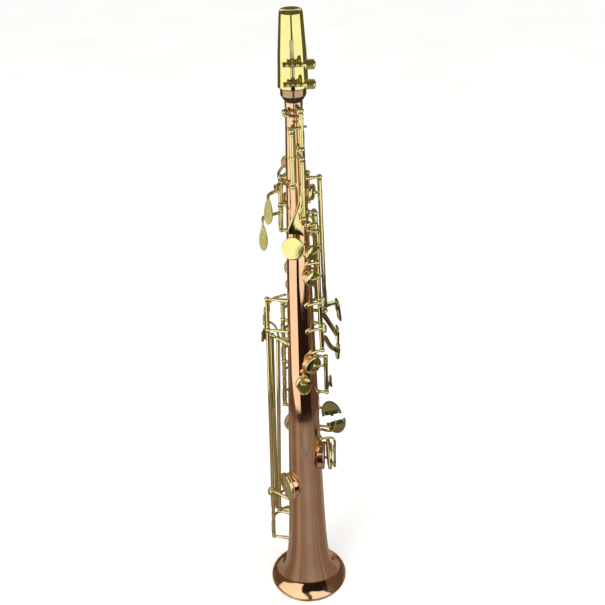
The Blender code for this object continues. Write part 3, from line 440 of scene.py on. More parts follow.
def add_lathe(bm, profile, place, sides=40, ring=False, fillet=0.0):
    """A turned solid: (radius, height) points from axis to axis, or a closed loop when ring is set."""
    if fillet:
        profile = supported(filleted(profile, fillet, closed=ring))
    rows = []
    for radius, height in profile:
        if radius < 1e-6:
            rows.append([bm.verts.new(place @ Vector((0, 0, height)))])
            continue
        ring_points = [Vector((radius * math.cos(a), radius * math.sin(a), height)) for a in circle(sides)]
        rows.append([bm.verts.new(place @ point) for point in ring_points])
    pairs = list(zip(rows, rows[1:])) + ([(rows[-1], rows[0])] if ring else [])
    faces = []
    for lower, upper in pairs:
        for k in range(sides):
            n = (k + 1) % sides
            corners = [row[i % len(row)] for row, i in ((lower, k), (lower, n), (upper, n), (upper, k))]
            corners = list(dict.fromkeys(corners))
            if len(corners) > 2:
                faces.append(bm.faces.new(corners))
    bmesh.ops.recalc_face_normals(bm, faces=faces)


def add_ball(bm, centre, radius, sides=20, stretch=1.0, axis=(0, 0, 1)):
    steps = max(sides // 2, 6)
    profile = [(radius * math.sin(math.pi * k / steps), -radius * stretch * math.cos(math.pi * k / steps))
               for k in range(steps + 1)]
    profile[0], profile[-1] = (0.0, profile[0][1]), (0.0, profile[-1][1])
    add_lathe(bm, profile, place_at(centre, axis), sides)


def add_torus(bm, place, ring_radius, wire, sides=48, wire_sides=14):
    loop = [(ring_radius + wire * math.cos(a), wire * math.sin(a)) for a in circle(wire_sides)]
    add_lathe(bm, loop, place, sides, ring=True)


def smooth_path(points, per_leg=8):
    """Points of a Catmull-Rom curve through these."""
    points = [Vector(p) for p in points]
    ends = [points[0] * 2 - points[1]] + points + [points[-1] * 2 - points[-2]]
    result = []
    for i in range(1, len(ends) - 2):
        a, b, c, d = ends[i - 1:i + 3]
        for k in range(per_leg):
            t = k / per_leg
            result.append(0.5 * ((2 * b) + (c - a) * t + (2 * a - 5 * b + 4 * c - d) * t * t
                                 + (3 * b - a - 3 * c + d) * t ** 3))
    return result + [points[-1]]


def add_rod(bm, points, radii, sides=14, smooth=True, flat=1.0, wide=None):
    """A bar swept along a path: radii is one radius or (start, end), and flat thins it across wide."""
    path = smooth_path(points) if smooth and len(points) > 2 else [Vector(p) for p in points]
    first, last = radii if isinstance(radii, tuple) else (radii, radii)
    direction = (path[1] - path[0]).normalized()
    side = Vector(wide) if wide else direction.orthogonal().normalized()
    rows = []
    for i, point in enumerate(path):
        ahead = path[min(i + 1, len(path) - 1)] - path[max(i - 1, 0)]
        ahead.normalize()
        side = (side - ahead * side.dot(ahead)).normalized()
        up = ahead.cross(side)
        radius = first + (last - first) * i / (len(path) - 1)
        rows.append([bm.verts.new(point + side * math.cos(a) * radius + up * math.sin(a) * radius * flat)
                     for a in circle(sides)])
    faces = [bm.faces.new([lower[k], lower[(k + 1) % sides], upper[(k + 1) % sides], upper[k]])
             for lower, upper in zip(rows, rows[1:]) for k in range(sides)]
    faces += [bm.faces.new(rows[0][::-1]), bm.faces.new(rows[-1])]
    bmesh.ops.recalc_face_normals(bm, faces=faces)


def add_dished(bm, points, place, depth, crown, rim=0.5):
    """A finger plate with a rounded edge: a convex outline, crowned (or dished) on its outer face."""
    count = len(points)
    rings = [(0.93, -depth / 2), (1.0, -depth / 2 + rim), (1.0, depth / 2 - rim)]
    rings += [(0.97, depth / 2 - rim * 0.3), (0.9, depth / 2)]
    rings += [(s, depth / 2 + crown * (1 - (s / 0.9) ** 2)) for s in (0.75, 0.55, 0.3)]
    rows = [[bm.verts.new(place @ Vector((x * s, y * s, h))) for x, y in points] for s, h in rings]
    bottom = bm.verts.new(place @ Vector((0, 0, -depth / 2)))
    top = bm.verts.new(place @ Vector((0, 0, depth / 2 + crown)))
    faces = []
    for k in range(count):
        n = (k + 1) % count
        faces.append(bm.faces.new([bottom, rows[0][n], rows[0][k]]))
        faces.append(bm.faces.new([top, rows[-1][k], rows[-1][n]]))
        faces += [bm.faces.new([a[k], a[n], b[n], b[k]]) for a, b in zip(rows, rows[1:])]
    bmesh.ops.recalc_face_normals(bm, faces=faces)


def add_slab(bm, points, place, depth, bevel=0.35):
    """A flat plate of any outline with softened edges."""
    lower = [bm.verts.new(place @ Vector((x, y, -depth / 2))) for x, y in points]
    upper = [bm.verts.new(place @ Vector((x, y, depth / 2))) for x, y in points]
    count = len(points)
    faces = [bm.faces.new(lower[::-1]), bm.faces.new(upper)]
    for k in range(count):
        n = (k + 1) % count
        faces.append(bm.faces.new([lower[k], lower[n], upper[n], upper[k]]))
    bmesh.ops.recalc_face_normals(bm, faces=faces)
    edges = list({e for f in faces[:2] for e in f.edges})
    bmesh.ops.bevel(bm, geom=edges, offset=bevel, segments=2, profile=0.6, affect="EDGES")


def round_outline(shape, width, height, count=40):
    """A smooth outline: round, or a teardrop with its narrow end up."""
    points = []
    for t in circle(count):
        x, y = math.sin(t), math.cos(t)
        if shape == "teardrop":
            x *= 0.5 + 0.5 * ((1 - y) / 2) ** 0.7
        points.append((x * width / 2, y * height / 2))
    return points


def half_circle(start=0.0, steps=28):
    """The angles of evenly spaced points along half a turn."""
    return [start + math.pi * k / steps for k in range(steps + 1)]


def half_moon(width, height, upper):
    """A half-moon plate with the cut-out that its roller turns in."""
    half, high = ROLLER_LENGTH / 2 + 0.5, ROLLER_INSET + ROLLER_RADIUS + 0.6
    arc = [(width / 2 * math.cos(a), height * math.sin(a)) for a in half_circle()]
    corners = [(-width / 2, 0), (-half, 0), (-half, high), (half, high), (half, 0), (width / 2, 0)]
    points = arc + filleted(corners, 0.9)[1:-1]
    return points if upper else [(-x, -y) for x, y in points]


def apply_booleans(obj, others, operation):
    for other in others:
        modifier = obj.modifiers.new("cut", "BOOLEAN")
        modifier.operation, modifier.solver, modifier.object = operation, "MANIFOLD", other
    bpy.context.view_layer.update()
    mesh = bpy.data.meshes.new_from_object(obj.evaluated_get(bpy.context.evaluated_depsgraph_get()))
    obj.modifiers.clear()
    obj.data = mesh
    for other in others:
        bpy.data.objects.remove(other)
    return obj


def raw(build):
    """An object in metres from a function that fills a bmesh in millimetres."""
    bm = bmesh.new()
    build(bm)
    bmesh.ops.scale(bm, vec=(MM, MM, MM), verts=bm.verts)
    mesh = bpy.data.meshes.new("raw")
    bm.to_mesh(mesh)
    bm.free()
    obj = bpy.data.objects.new("raw", mesh)
    bpy.context.scene.collection.objects.link(obj)
    return obj


def turned(profile, place, sides=40, ring=False, fillet=0.0):
    """A turned solid as an object of its own, for Booleans."""
    return raw(lambda bm: add_lathe(bm, profile, place, sides, ring, fillet))


def box(centre, halves):
    """A plain box as an object of its own, from its middle and half of each side."""
    matrix = Matrix.Translation(centre) @ Matrix.Diagonal((*halves, 1))
    return raw(lambda bm: bmesh.ops.create_cube(bm, size=2, matrix=matrix))


UPRIGHT = Matrix.Identity(4)


# ---------------------------------------------------------------- key geometry, as in the CAD part
def axis_of(line):
    return line[1].normalized()


def seat_height(spec):
    """Distance from the bore axis to the top of this cup's chimney."""
    return tube_radius(spec["z"]) + spec["rise"]


def rest_degrees(spec):
    """How far an open-standing key is turned from closed, with its sense about its hinge line."""
    if spec["stands"] != "open":
        return 0.0
    one = spec["cups"][0]
    centre = around(one["angle"], seat_height(one) + GAP + PAD_DEPTH, one["z"])
    reach = centre - on(spec["line"], centre.z)
    rising = Vector((-reach.y, reach.x, 0)).dot(outward(one["angle"]))
    return math.copysign(math.degrees(spec["lift"] / reach.length), rising)


def rest_turn(spec):
    """The turn about its hinge line that brings a key from closed to its rest position."""
    pivot = on(spec["line"], 0)
    spin = Matrix.Rotation(math.radians(rest_degrees(spec)), 4, axis_of(spec["line"]))
    return Matrix.Translation(pivot) @ spin @ Matrix.Translation(-pivot)


def add_tube(bm, line, low, high, radius=TUBE_RADIUS - 0.05):
    """A hinge tube with a turned collar at each end."""
    start, length = on(line, low), (on(line, high) - on(line, low)).length
    step = min(1.7, length / 4)
    inner, outer = ROD_RADIUS + 0.15, radius + 0.22
    profile = [(inner, 0), (outer, 0), (outer, step), (radius, step + 0.25), (radius, length - step - 0.25),
               (outer, length - step), (outer, length), (inner, length)]
    add_lathe(bm, profile, place_at(start, axis_of(line)), 20, ring=True, fillet=0.2)


def cup_sides(radius):
    return 56 if radius > 8 else 36


def add_cup(bm, one):
    """A pad cup: a turned dish with a rounded shoulder and a low crown, and the resonator in its pad."""
    radius, seat = one["diameter"] / 2, seat_height(one)
    place = place_at(around(one["angle"], seat + GAP, one["z"]), outward(one["angle"]))
    profile = [(0, 1.4), (radius - 0.7, 1.4), (radius - 0.7, 1.0), (radius, 1.0), (radius, 2.9),
               (radius - 0.9, 3.7), (radius * 0.55, 4.35), (0, 4.6)]
    add_lathe(bm, profile, place, cup_sides(radius), fillet=0.3)
    if radius > RESONATOR_LIMIT:
        wide = radius * 0.42
        dome = [(0, -0.5), (radius * 0.2, -0.45), (wide, -0.1), (wide, 0.3), (0, 0.3)]
        add_lathe(bm, dome, place, 32, fillet=0.1)


def add_cup_arm(bm, one, line):
    """The arm from the hinge tube, over the cup's rim and on to a boss at its middle."""
    radius, top = one["diameter"] / 2, seat_height(one) + GAP + PAD_DEPTH
    centre = around(one["angle"], top + 0.3, one["z"])
    start = on(line, one["arm_z"])
    across = start - centre
    across.z = 0
    across -= outward(one["angle"]) * across.dot(outward(one["angle"]))
    slope = Vector((0, 0, (one["arm_z"] - one["z"]) * radius / max(across.length, radius + 3)))
    corner = centre + across.normalized() * min(radius + 2.0, across.length) + slope
    add_rod(bm, [start, corner, centre.lerp(corner, 0.45), centre], (1.65, 1.1))
    add_lathe(bm, [(0, -0.8), (radius * 0.3, -0.8), (radius * 0.2, 0.1), (1.2, 0.7), (0, 0.9)],
              place_at(centre, outward(one["angle"])), 24, fillet=0.4)
    ring = Vector((0, 0, 1.4))
    for side in (-1, 1):
        add_rod(bm, [start + ring * side, start + ring * side * 1.6], TUBE_RADIUS + 0.35, smooth=False)


def leaf_outline():
    """The thumb octave lever: a pointed top, one straight side and a wide foot."""
    corners = [
        (7.9, -15.2), (4.0, -14.3), (-0.3, -13.5), (-5.4, -13.0), (-7.7, -12.0), (-8.0, -6.7),
        (-5.2, 1.3), (-2.2, 6.6), (0.4, 11.8), (2.9, 20.0), (4.6, 27.6), (5.9, 23.5), (5.4, 16.0),
        (4.2, 10.0), (2.9, 4.4), (5.4, -5.0),
    ]
    closed = [(*p, 0) for p in corners[-2:] + corners + corners[:2]]
    return [(p.x, p.y) for p in smooth_path(closed, 4)[8:-8]][:-1]


def add_touch(bm, plates, spec, key_spec):
    """A finger plate and, on the key, the arm that carries it."""
    width, height = spec["size"]
    place = facing(spec["centre"], spec["normal"], spec["spin"])
    shape = spec["shape"]
    normal = place.to_3x3() @ Vector((0, 0, 1))
    centre = Vector(spec["centre"])
    if shape.startswith("half"):
        upper = shape == "half_up"
        add_slab(plates, half_moon(width, height, upper), place, PLATE_DEPTH, 0.5)
        for side in (-1, 1):
            at = Vector((side * (ROLLER_LENGTH / 2 + 0.9), ROLLER_INSET if upper else -ROLLER_INSET, 0.0))
            add_ball(bm, place @ at, 1.35, 14)
    elif shape == "leaf":
        add_slab(bm, leaf_outline(), place, PLATE_DEPTH, 0.55)
    elif shape == "round" and not spec["route"]:
        radius = width / 2
        profile = [(0, -0.9), (radius * 0.5, -0.9), (radius * 0.95, -0.5), (radius, 0.0), (radius, 0.9),
                   (radius - 0.75, 0.9), (radius - 0.75, 0.3), (0, 0.3)]
        add_lathe(bm, profile, place, 48, fillet=0.25)
        stem = [(0, -6.4), (2.3, -6.2), (1.7, -4.6), (1.7, -2.2), (3.6, -0.7), (0, -0.7)]
        add_lathe(bm, stem, place, 24, fillet=0.4)
    elif shape == "oblong":
        w, h = width / 2, height / 2
        corners = filleted([(-w, -h), (w, -h), (w, h), (-w, h)], min(w, h) * 0.75, 7, closed=True)
        add_dished(plates, corners, place, 2.4, 0.3, 0.7)
    else:
        add_dished(plates, round_outline(shape, width, height), place, PLATE_DEPTH, -0.5)
    if spec["route"]:
        low, high = key_spec["tube"]
        start = on(key_spec["line"], min(max(spec["route"][0][2], low + 2), high - 2))
        end = centre - normal * 0.7
        path = [start, *spec["route"], end]
        if shape != "oblong":
            add_rod(bm, path, (1.75, 1.45))
        elif centre.x > 0:
            add_rod(bm, path, (3.2, 2.2), 20, flat=0.42, wide=(0, 0, 1))
        else:
            add_rod(bm, path, (1.8, 1.6), 20, flat=0.7, wide=(0, 0, 1))
        add_ball(bm, end, 2.0, 18, 0.45, normal)


def make_key(name, spec):
    line, (low, high) = spec["line"], spec["tube"]
    gap = POST_HEAD_HEIGHT / 2 + 1
    levels = [low] + [z + side * gap for z in sorted(spec["breaks"]) for side in (-1, 1)] + [high]
    turn = rest_turn(spec)
    bm = bmesh.new()
    for first, second in zip(levels[::2], levels[1::2]):
        add_tube(bm, line, first, second)
    for z in spec["breaks"]:
        side = Vector((math.copysign(TUBE_RADIUS + 2.5, line[0].x), 0, 0)) * 0.9
        inset = Vector((0, 0, 0.8))
        lower, upper = on(line, z - gap - 2), on(line, z + gap + 2)
        add_rod(bm, [lower, lower + side + inset, upper + side - inset, upper], 1.3)
    for one in spec["cups"]:
        add_cup(bm, one)
        add_cup_arm(bm, one, line)
    plates = bmesh.new()
    for one in spec["touches"]:
        add_touch(bm, plates, one, spec)
    for start, end, radius in spec["bars"]:
        if radius > 2:
            length = (Vector(end) - Vector(start)).length
            add_lathe(bm, [(1.1, 0), (radius, 0), (radius, length), (1.1, length)],
                      place_at(start, Vector(end) - Vector(start)), 28, ring=True, fillet=0.4)
        else:
            add_rod(bm, [start, end], (radius + 0.15, radius), smooth=False)
            add_ball(bm, end, radius * 1.15, 14)
    short = name.replace("_key", "")
    finish_mesh(bm, short + "_metalwork", BRASS, name, [name], turn=turn)
    if plates.faces:
        # the finger plates take the darker brass of painted shade
        finish_mesh(plates, short + "_plate", SHADED_PLATE_BRASS, name, turn=turn)
    for one in spec["cups"]:
        make_pad(name, one, turn)
    for one in spec["touches"]:
        if one["shape"] == "round" and not one["route"]:
            bm = bmesh.new()
            radius = one["size"][0] / 2 - 0.8
            add_lathe(bm, [(0, 0.3), (radius, 0.3), (radius, 1.15), (radius * 0.75, 1.25), (0, 0.95)],
                      facing(one["centre"], one["normal"]), 48, fillet=0.3)
            finish_mesh(bm, short + "_pearl", PEARL, name, turn=turn)


def make_pad(name, one, turn):
    """A leather pad: its face is soft and bulges round the edge of the cup."""
    radius, seat = one["diameter"] / 2, seat_height(one)
    place = place_at(around(one["angle"], seat + GAP, one["z"]), outward(one["angle"]))
    profile = [(0, 0.1), (radius * 0.5, 0.0), (radius * 0.72, -0.12), (radius - 0.75, -0.2)]
    profile += [(radius - 0.35, 0.15), (radius - 0.5, 1.1), (radius - 0.8, 1.3), (0, 1.3)]
    bm = bmesh.new()
    add_lathe(bm, profile, place, cup_sides(radius), fillet=0.25)
    short = name.replace("_key", "")
    modelled = [f"{short}_pad"] if f"{short}_pad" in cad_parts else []
    pad = finish_mesh(bm, f"{short}_leather_pad", LEATHER, name, modelled, turn=turn)


# ---------------------------------------------------------------- body
def true_normals(obj):
    """Exact normals on the bore's outside, so that reflections run straight past the tone holes."""
    mesh = obj.data
    normals = [corner.vector.copy() for corner in mesh.corner_normals]
    for face in mesh.polygons:
        radial = Vector((face.center.x, face.center.y, 0)) / MM
        if abs(radial.length - tube_radius(face.center.z / MM)) > 0.4:
            continue
        for corner in face.loop_indices:
            point = mesh.vertices[mesh.loops[corner].vertex_index].co / MM
            slope = tube_radius(point.z + 0.2) - tube_radius(point.z - 0.2)
            exact = (Vector((point.x, point.y, 0)).normalized() - Vector((0, 0, slope / 0.4))).normalized()
            if exact.dot(face.normal) > 0.97:
                normals[corner] = exact
    mesh.normals_split_custom_set(normals)


def wall_profile(low, high, step):
    count = max(int((high - low) / step), 2)
    levels = [low + (high - low) * (k / count) for k in range(count + 1)]
    if low < 1:
        levels = [low + (high - low) * (k / count) ** 1.7 for k in range(count + 1)]
    outer = [(tube_radius(z), z) for z in reversed(levels)]
    return outer + [(tube_radius(z) - WALL, z) for z in levels]


def make_wall(name, low, high, step, material, node, collar=None):
    """A length of the body with its chimneys and any collar, drilled through and clear inside."""
    wall = turned(wall_profile(low, high, step), UPRIGHT, 128, ring=True)
    chimneys, bores = [], []
    for spec in KEYS.values():
        for one in spec["cups"]:
            if not low < one["z"] < high:
                continue
            radius, seat = one["diameter"] / 2 - CUP_OVERHANG, seat_height(one)
            inner = tube_radius(one["z"]) - WALL - (3.0 if radius > 8 else 0.5)
            place = place_at(around(one["angle"], 0, one["z"]), outward(one["angle"]))
            rim = [(radius - 0.35, inner), (radius - 0.35, seat - 1.0), (radius + 0.1, seat - 0.75),
                   (radius + 0.1, seat - 0.25), (radius - 0.3, seat), (0, seat)]
            chimneys.append(turned([(0, inner)] + rim, place, 56, fillet=0.2))
            bore = [(0, 1), (radius - 1.15, 1), (radius - 1.15, seat + 2), (0, seat + 2)]
            bores.append(turned(bore, place, 56))
    if collar:
        chimneys.append(turned(collar, UPRIGHT, 96, ring=True, fillet=0.3))
    levels = range(int(low) - 4, int(high) + 5, 4)
    plug = [(0, low - 4)] + [(tube_radius(max(z, 0)) - WALL - 0.02, z) for z in levels] + [(0, levels[-1])]
    bores.append(turned(plug, UPRIGHT, 128))
    apply_booleans(wall, chimneys, "UNION")
    apply_booleans(wall, bores, "DIFFERENCE")
    finish_object(wall, name, material, BODY, [node], 32)
    true_normals(wall)


def make_rim():
    """The rolled edge of the bell."""
    bm = bmesh.new()
    add_torus(bm, Matrix.Translation((0, 0, BEAD_RADIUS)), BELL_RADIUS - BEAD_RADIUS, BEAD_RADIUS, 144, 16)
    finish_mesh(bm, "bell_rim_bead", BELL_COPPER, BODY)


def post_foot(line, z, foot_angle):
    head = on(line, z)
    reach = tube_radius(z)
    if foot_angle is None:
        return Vector((head.x, head.y, 0)).normalized() * reach + Vector((0, 0, z))
    return around(foot_angle, reach, z)


def make_posts():
    bm = bmesh.new()
    for line, z, *rest in POSTS:
        head = on(line, z)
        foot = post_foot(line, z, rest[0] if rest else None)
        out = Vector((foot.x, foot.y, 0)).normalized()
        base = [(0, -0.9), (3.1, -0.9), (3.1, 0.45), (1.9, 0.95), (0, 1.0)]
        add_lathe(bm, base, place_at(foot, out), 28, fillet=0.25)
        reach = head - foot
        tall = reach.length
        shank = [(0, 0.0), (2.15, 0.0), (1.95, tall * 0.3), (1.3, tall - 2.2), (0, tall - 1.0)]
        add_lathe(bm, shank, place_at(foot, reach), 20, fillet=0.3)
        half = POST_HEAD_HEIGHT / 2
        barrel = [(0, -half), (1.8, -half), (2.65, -1.1), (2.95, 0), (2.65, 1.1), (1.8, half), (0, half)]
        add_lathe(bm, barrel, place_at(head, axis_of(line)), 32, fillet=0.5)
    finish_mesh(bm, "key_posts", POST_BRASS, BODY)


def make_rods():
    """Hinge rods with slotted heads, and the pivot screws of the two keys that have no long rod."""
    slots = []

    def turn_rods(bm):
        for line, low, high in [*RODS.values(), (LOWER_VENT_LINE, 477, 501), (FRONT_F_LINE, 501, 535)]:
            start, axis = on(line, low), axis_of(line)
            length = (on(line, high) - start).length
            profile = [(0, -0.25), (1.15, -0.25), (1.15, 0.9), (ROD_RADIUS, 1.0), (ROD_RADIUS, length - 1.0)]
            profile += [(1.35, length - 0.9), (1.35, length + 0.15), (1.0, length + 0.4), (0, length + 0.45)]
            add_lathe(bm, profile, place_at(start, axis), 20, fillet=0.12)
            top = place_at(start + axis * (length + 0.45), axis)
            slots.append(top @ Matrix.Diagonal((1.7, 0.2, 0.35, 1)))

    def cut_slots(bm):
        for place in slots:
            bmesh.ops.create_cube(bm, size=2, matrix=place)

    rods = raw(turn_rods)
    apply_booleans(rods, [raw(cut_slots)], "DIFFERENCE")
    finish_object(rods, "hinge_rods", STEEL, BODY, list(RODS))


def make_springs():
    """Blued needle springs, each from a post to the catch on its key's hinge tube."""
    springs = [
        (TABLE_OUTER_LINE, 130, -24), (TABLE_OUTER_LINE, 56, 26), (TABLE_INNER_LINE, 96, 28),
        (TABLE_FRONT_LINE, 97, 26), (TABLE_OUTER_LINE, 358, 20), (RIGHT_FINGER_LINE, 187.3, 24),
        (RIGHT_FINGER_LINE, 264.7, -16), (SIDE_E_LINE, 380, 26), (SIDE_C_LINE, 368.3, 24),
        (SIDE_BB_LINE, 339.7, 22), (TRILL_LINE, 282.3, 22), (UPPER_STACK_LINE, 391.3, 16),
        (LOWER_STACK_LINE, 314, 20), (LOWER_STACK_LINE, 254.5, 22), (PALM_LINE, 476.5, 18),
        (PALM_LINE, 533, -14), (OCTAVE_RIGHT, 567, 18), (LOWER_STACK_LINE, 367.7, -18),
    ]
    bm = bmesh.new()
    for line, z, length in springs:
        away = outward(0).cross(Vector((0, 0, 1))) * math.copysign(1, line[0].x)
        start = on(line, z) - away * 1.6 + Vector((0, -1.2, 0))
        end = on(line, z + length) - away * 2.5 + Vector((0, -1.6, 0))
        add_rod(bm, [start, start.lerp(end, 0.5) - away * 0.5, end], (0.36, 0.22), 8)
    finish_mesh(bm, "needle_springs", BLUED, BODY)


# ---------------------------------------------------------------- fittings on the body
def make_thumb_rest():
    centre, normal = Vector((-4.9, -20.0, 468)), Vector((-0.12, -1, 0.2)).normalized()
    disc = [(0, -0.3), (8.0, -0.3), (11.2, 0.2), (11.7, 1.0), (11.4, 2.0), (10.4, 2.2), (0, 2.2)]
    bm = bmesh.new()
    add_lathe(bm, disc, place_at(centre, normal), 72, fillet=0.35)
    foot = around(-12, tube_radius(centre.z) - 0.2, centre.z)
    stem = centre + normal - foot
    profile = [(0, 0), (5.2, 0), (3.6, 0.9), (3.0, stem.length), (0, stem.length)]
    add_lathe(bm, profile, place_at(foot, stem), 36, fillet=0.5)
    finish_mesh(bm, "thumb_rest_disc", CAP_BRASS, BODY, ["thumb_rest"])


def make_thumb_hook():
    x, hook_z = 1.2, 304
    back, screw_z = -tube_radius(hook_z) - GAP - 0.4, hook_z - 4.5
    towards = (0, -1, 0)
    boss = [(0, -0.9), (9.0, -0.9), (9.0, 0.9), (8.2, 2.6), (6.6, 3.2), (0, 3.2)]
    hook = turned(boss, place_at((x, back, hook_z), towards), 64, fillet=0.4)
    tongue = [(7.6 * math.cos(a), 11.5 * math.sin(a)) for a in half_circle(math.pi)]
    tongue = filleted(tongue, 1.0, closed=True)
    lean = facing((x, back - 6, hook_z + 3), (0, -0.62, 0.78))
    plate = raw(lambda bm: add_slab(bm, tongue, lean, 2.3, 0.7))
    route = [(x, back - 1.0, hook_z + 2), (x, back - 4, hook_z + 2.2), (x, back - 7, hook_z + 1.4)]
    neck = raw(lambda bm: add_rod(bm, route, (4.6, 3.4), 28))
    hole = turned([(0, 0), (1.6, 0), (1.6, 14), (0, 14)], place_at((x, back + 3, screw_z), towards), 24)
    apply_booleans(hook, [plate, neck], "UNION")
    apply_booleans(hook, [hole], "DIFFERENCE")
    finish_object(hook, "thumb_hook_casting", BRASS, BODY, ["thumb_hook"])
    profile = [(0, -0.1), (1.2, -0.1), (1.2, 4.4), (1.0, 5.1), (0, 5.2)]
    screw = turned(profile, place_at((x, back, screw_z), towards), 28, fillet=0.15)
    apply_booleans(screw, [box((x, back - 5.2, screw_z), (1.6, 0.5, 0.22))], "DIFFERENCE")
    finish_object(screw, "thumb_hook_fixing", STEEL, "thumb_hook_screw", ["thumb_hook_screw"])


def make_strap_ring():
    ring_z = 319
    reach = tube_radius(ring_z)
    bm = bmesh.new()
    add_torus(bm, place_at((1.0, -reach - 6.6, ring_z), (1, 0, 0)), 4.7, 1.1)
    add_lathe(bm, [(0, 0), (3.4, 0), (3.4, 0.7), (2.3, 1.4), (1.5, 2.6), (0, 2.6)],
              place_at((1, -reach + 0.3, ring_z), (0, -1, 0)), 32, fillet=0.3)
    finish_mesh(bm, "strap_ring_loop", CHIMNEY_COPPER, BODY, ["strap_ring"])


def make_guard():
    angle, guard_z, reach = 85, 202, 33.0
    out, wire = outward(angle), reach + 1
    upper_end, lower_end = (angle + 8, 214), (angle + 45, 171)
    disc = [(0, 0.0), (8.2, 0.0), (8.8, 0.5), (8.8, 1.6), (7.6, 2.0), (3.4, 1.7), (2.6, 2.6), (0, 2.8)]
    bm = bmesh.new()
    add_lathe(bm, disc, place_at(around(angle, reach, guard_z), out), 56, fillet=0.3)
    upper = [around(angle, wire, 200), around(angle, wire, 213), around(angle + 3, reach - 3, 216.3)]
    lower = [around(angle, wire, 201), around(angle, wire, 188), around(angle, wire, 176),
             around(angle + 20, reach, 171.5), around(angle + 45, reach - 3, 171)]
    for path, (at, z) in ((upper, upper_end), (lower, lower_end)):
        add_rod(bm, [*path, around(at, tube_radius(z), z)], 1.5)
        foot = [(0, -0.5), (4.2, -0.5), (4.2, 0.7), (2.0, 1.6), (0, 1.8)]
        add_lathe(bm, foot, place_at(around(at, tube_radius(z), z), outward(at)), 32, fillet=0.3)
    finish_mesh(bm, "low_c_guard_frame", BRASS, BODY, ["low_c_guard"])
    bm = bmesh.new()
    felt = [(0, 0), (3.6, 0), (3.6, -1.3), (0, -1.5)]
    add_lathe(bm, felt, place_at(around(angle, reach, guard_z), out), 32, fillet=0.3)
    finish_mesh(bm, "guard_bumper", FELT, BODY)


# ---------------------------------------------------------------- mouthpiece end
def slab(points, centre, normal, depth):
    """A plate as an object of its own, for Booleans."""
    return raw(lambda bm: add_slab(bm, points, facing(centre, normal), depth, 0.25))


def box_outline(width, height, corner=2.0):
    w, h = width / 2, height / 2
    return filleted([(-w, -h), (w, -h), (w, h), (-w, h)], corner, 4, closed=True)


def make_mouthpiece():
    """The hard-rubber mouthpiece with its bore, chamber, window and beak, and the band round its shank."""
    body_radius, throat, bore, back = 10.6, 4.5, 6.8 + GAP, (0, -1, 0)
    profile = [
        (0, MOUTHPIECE_TIP), (7.2, MOUTHPIECE_TIP), (body_radius, 650), (body_radius, 624),
        (SHANK_RADIUS - 0.2, 621.6), (SHANK_RADIUS, 620.6), (SHANK_RADIUS, 614.2),
        (SHANK_RADIUS - 0.5, 613.2), (9.5, 610.2), (9.2, MOUTHPIECE_BOTTOM), (bore, MOUTHPIECE_BOTTOM),
        (bore, 636), (throat, 642), (throat, 656), (0, 656),
    ]
    body = turned(profile, UPRIGHT, 96, fillet=0.35)
    table = slab(box_outline(40, 66), (0, -13.2, 660), back, 10)
    window = slab(box_outline(8.5, 26), (0, -9.7, 666), back, 9)
    chamber = slab(box_outline(8.0, 11), (0, -8, 658.5), back, 12)
    beak = slab(box_outline(60, 60), (0, 15.05, 674.3), (0, 0.893, 0.452), 30)
    apply_booleans(body, [table, window, chamber, beak], "DIFFERENCE")
    finish_object(body, "mouthpiece_shell", RUBBER, "mouthpiece", ["mouthpiece"], 30)
    band = [(10.9, 613.6), (11.5, 613.7), (11.98, 614.4), (11.98, 620.4), (11.7, 621.1), (10.9, 621.1)]
    bm = bmesh.new()
    add_lathe(bm, band, UPRIGHT, 96, ring=True, fillet=0.3)
    finish_mesh(bm, "shank_band", BRONZE, "mouthpiece")


def make_reed():
    reed = slab(box_outline(9.6, 55, 2.4), (0, -8.95, 655.5), (0, -1, 0), 1.0)
    scrape = slab(box_outline(20, 30), (0, -11.1, 671), (0, -1, 0.027), 4)
    apply_booleans(reed, [scrape], "DIFFERENCE")
    finish_object(reed, "cane_reed", CANE, "mouthpiece", ["reed"], 30)


def make_cork():
    low, inner = BODY_TOP + GAP, 4.8
    bm = bmesh.new()
    add_lathe(bm, [(inner, low), (6.75, low), (6.8, 612), (6.8, 632.5), (6.3, 634), (inner, 634)],
              UPRIGHT, 56, ring=True, fillet=0.3)
    finish_mesh(bm, "neck_cork_sleeve", CORK, BODY, ["neck_cork"])


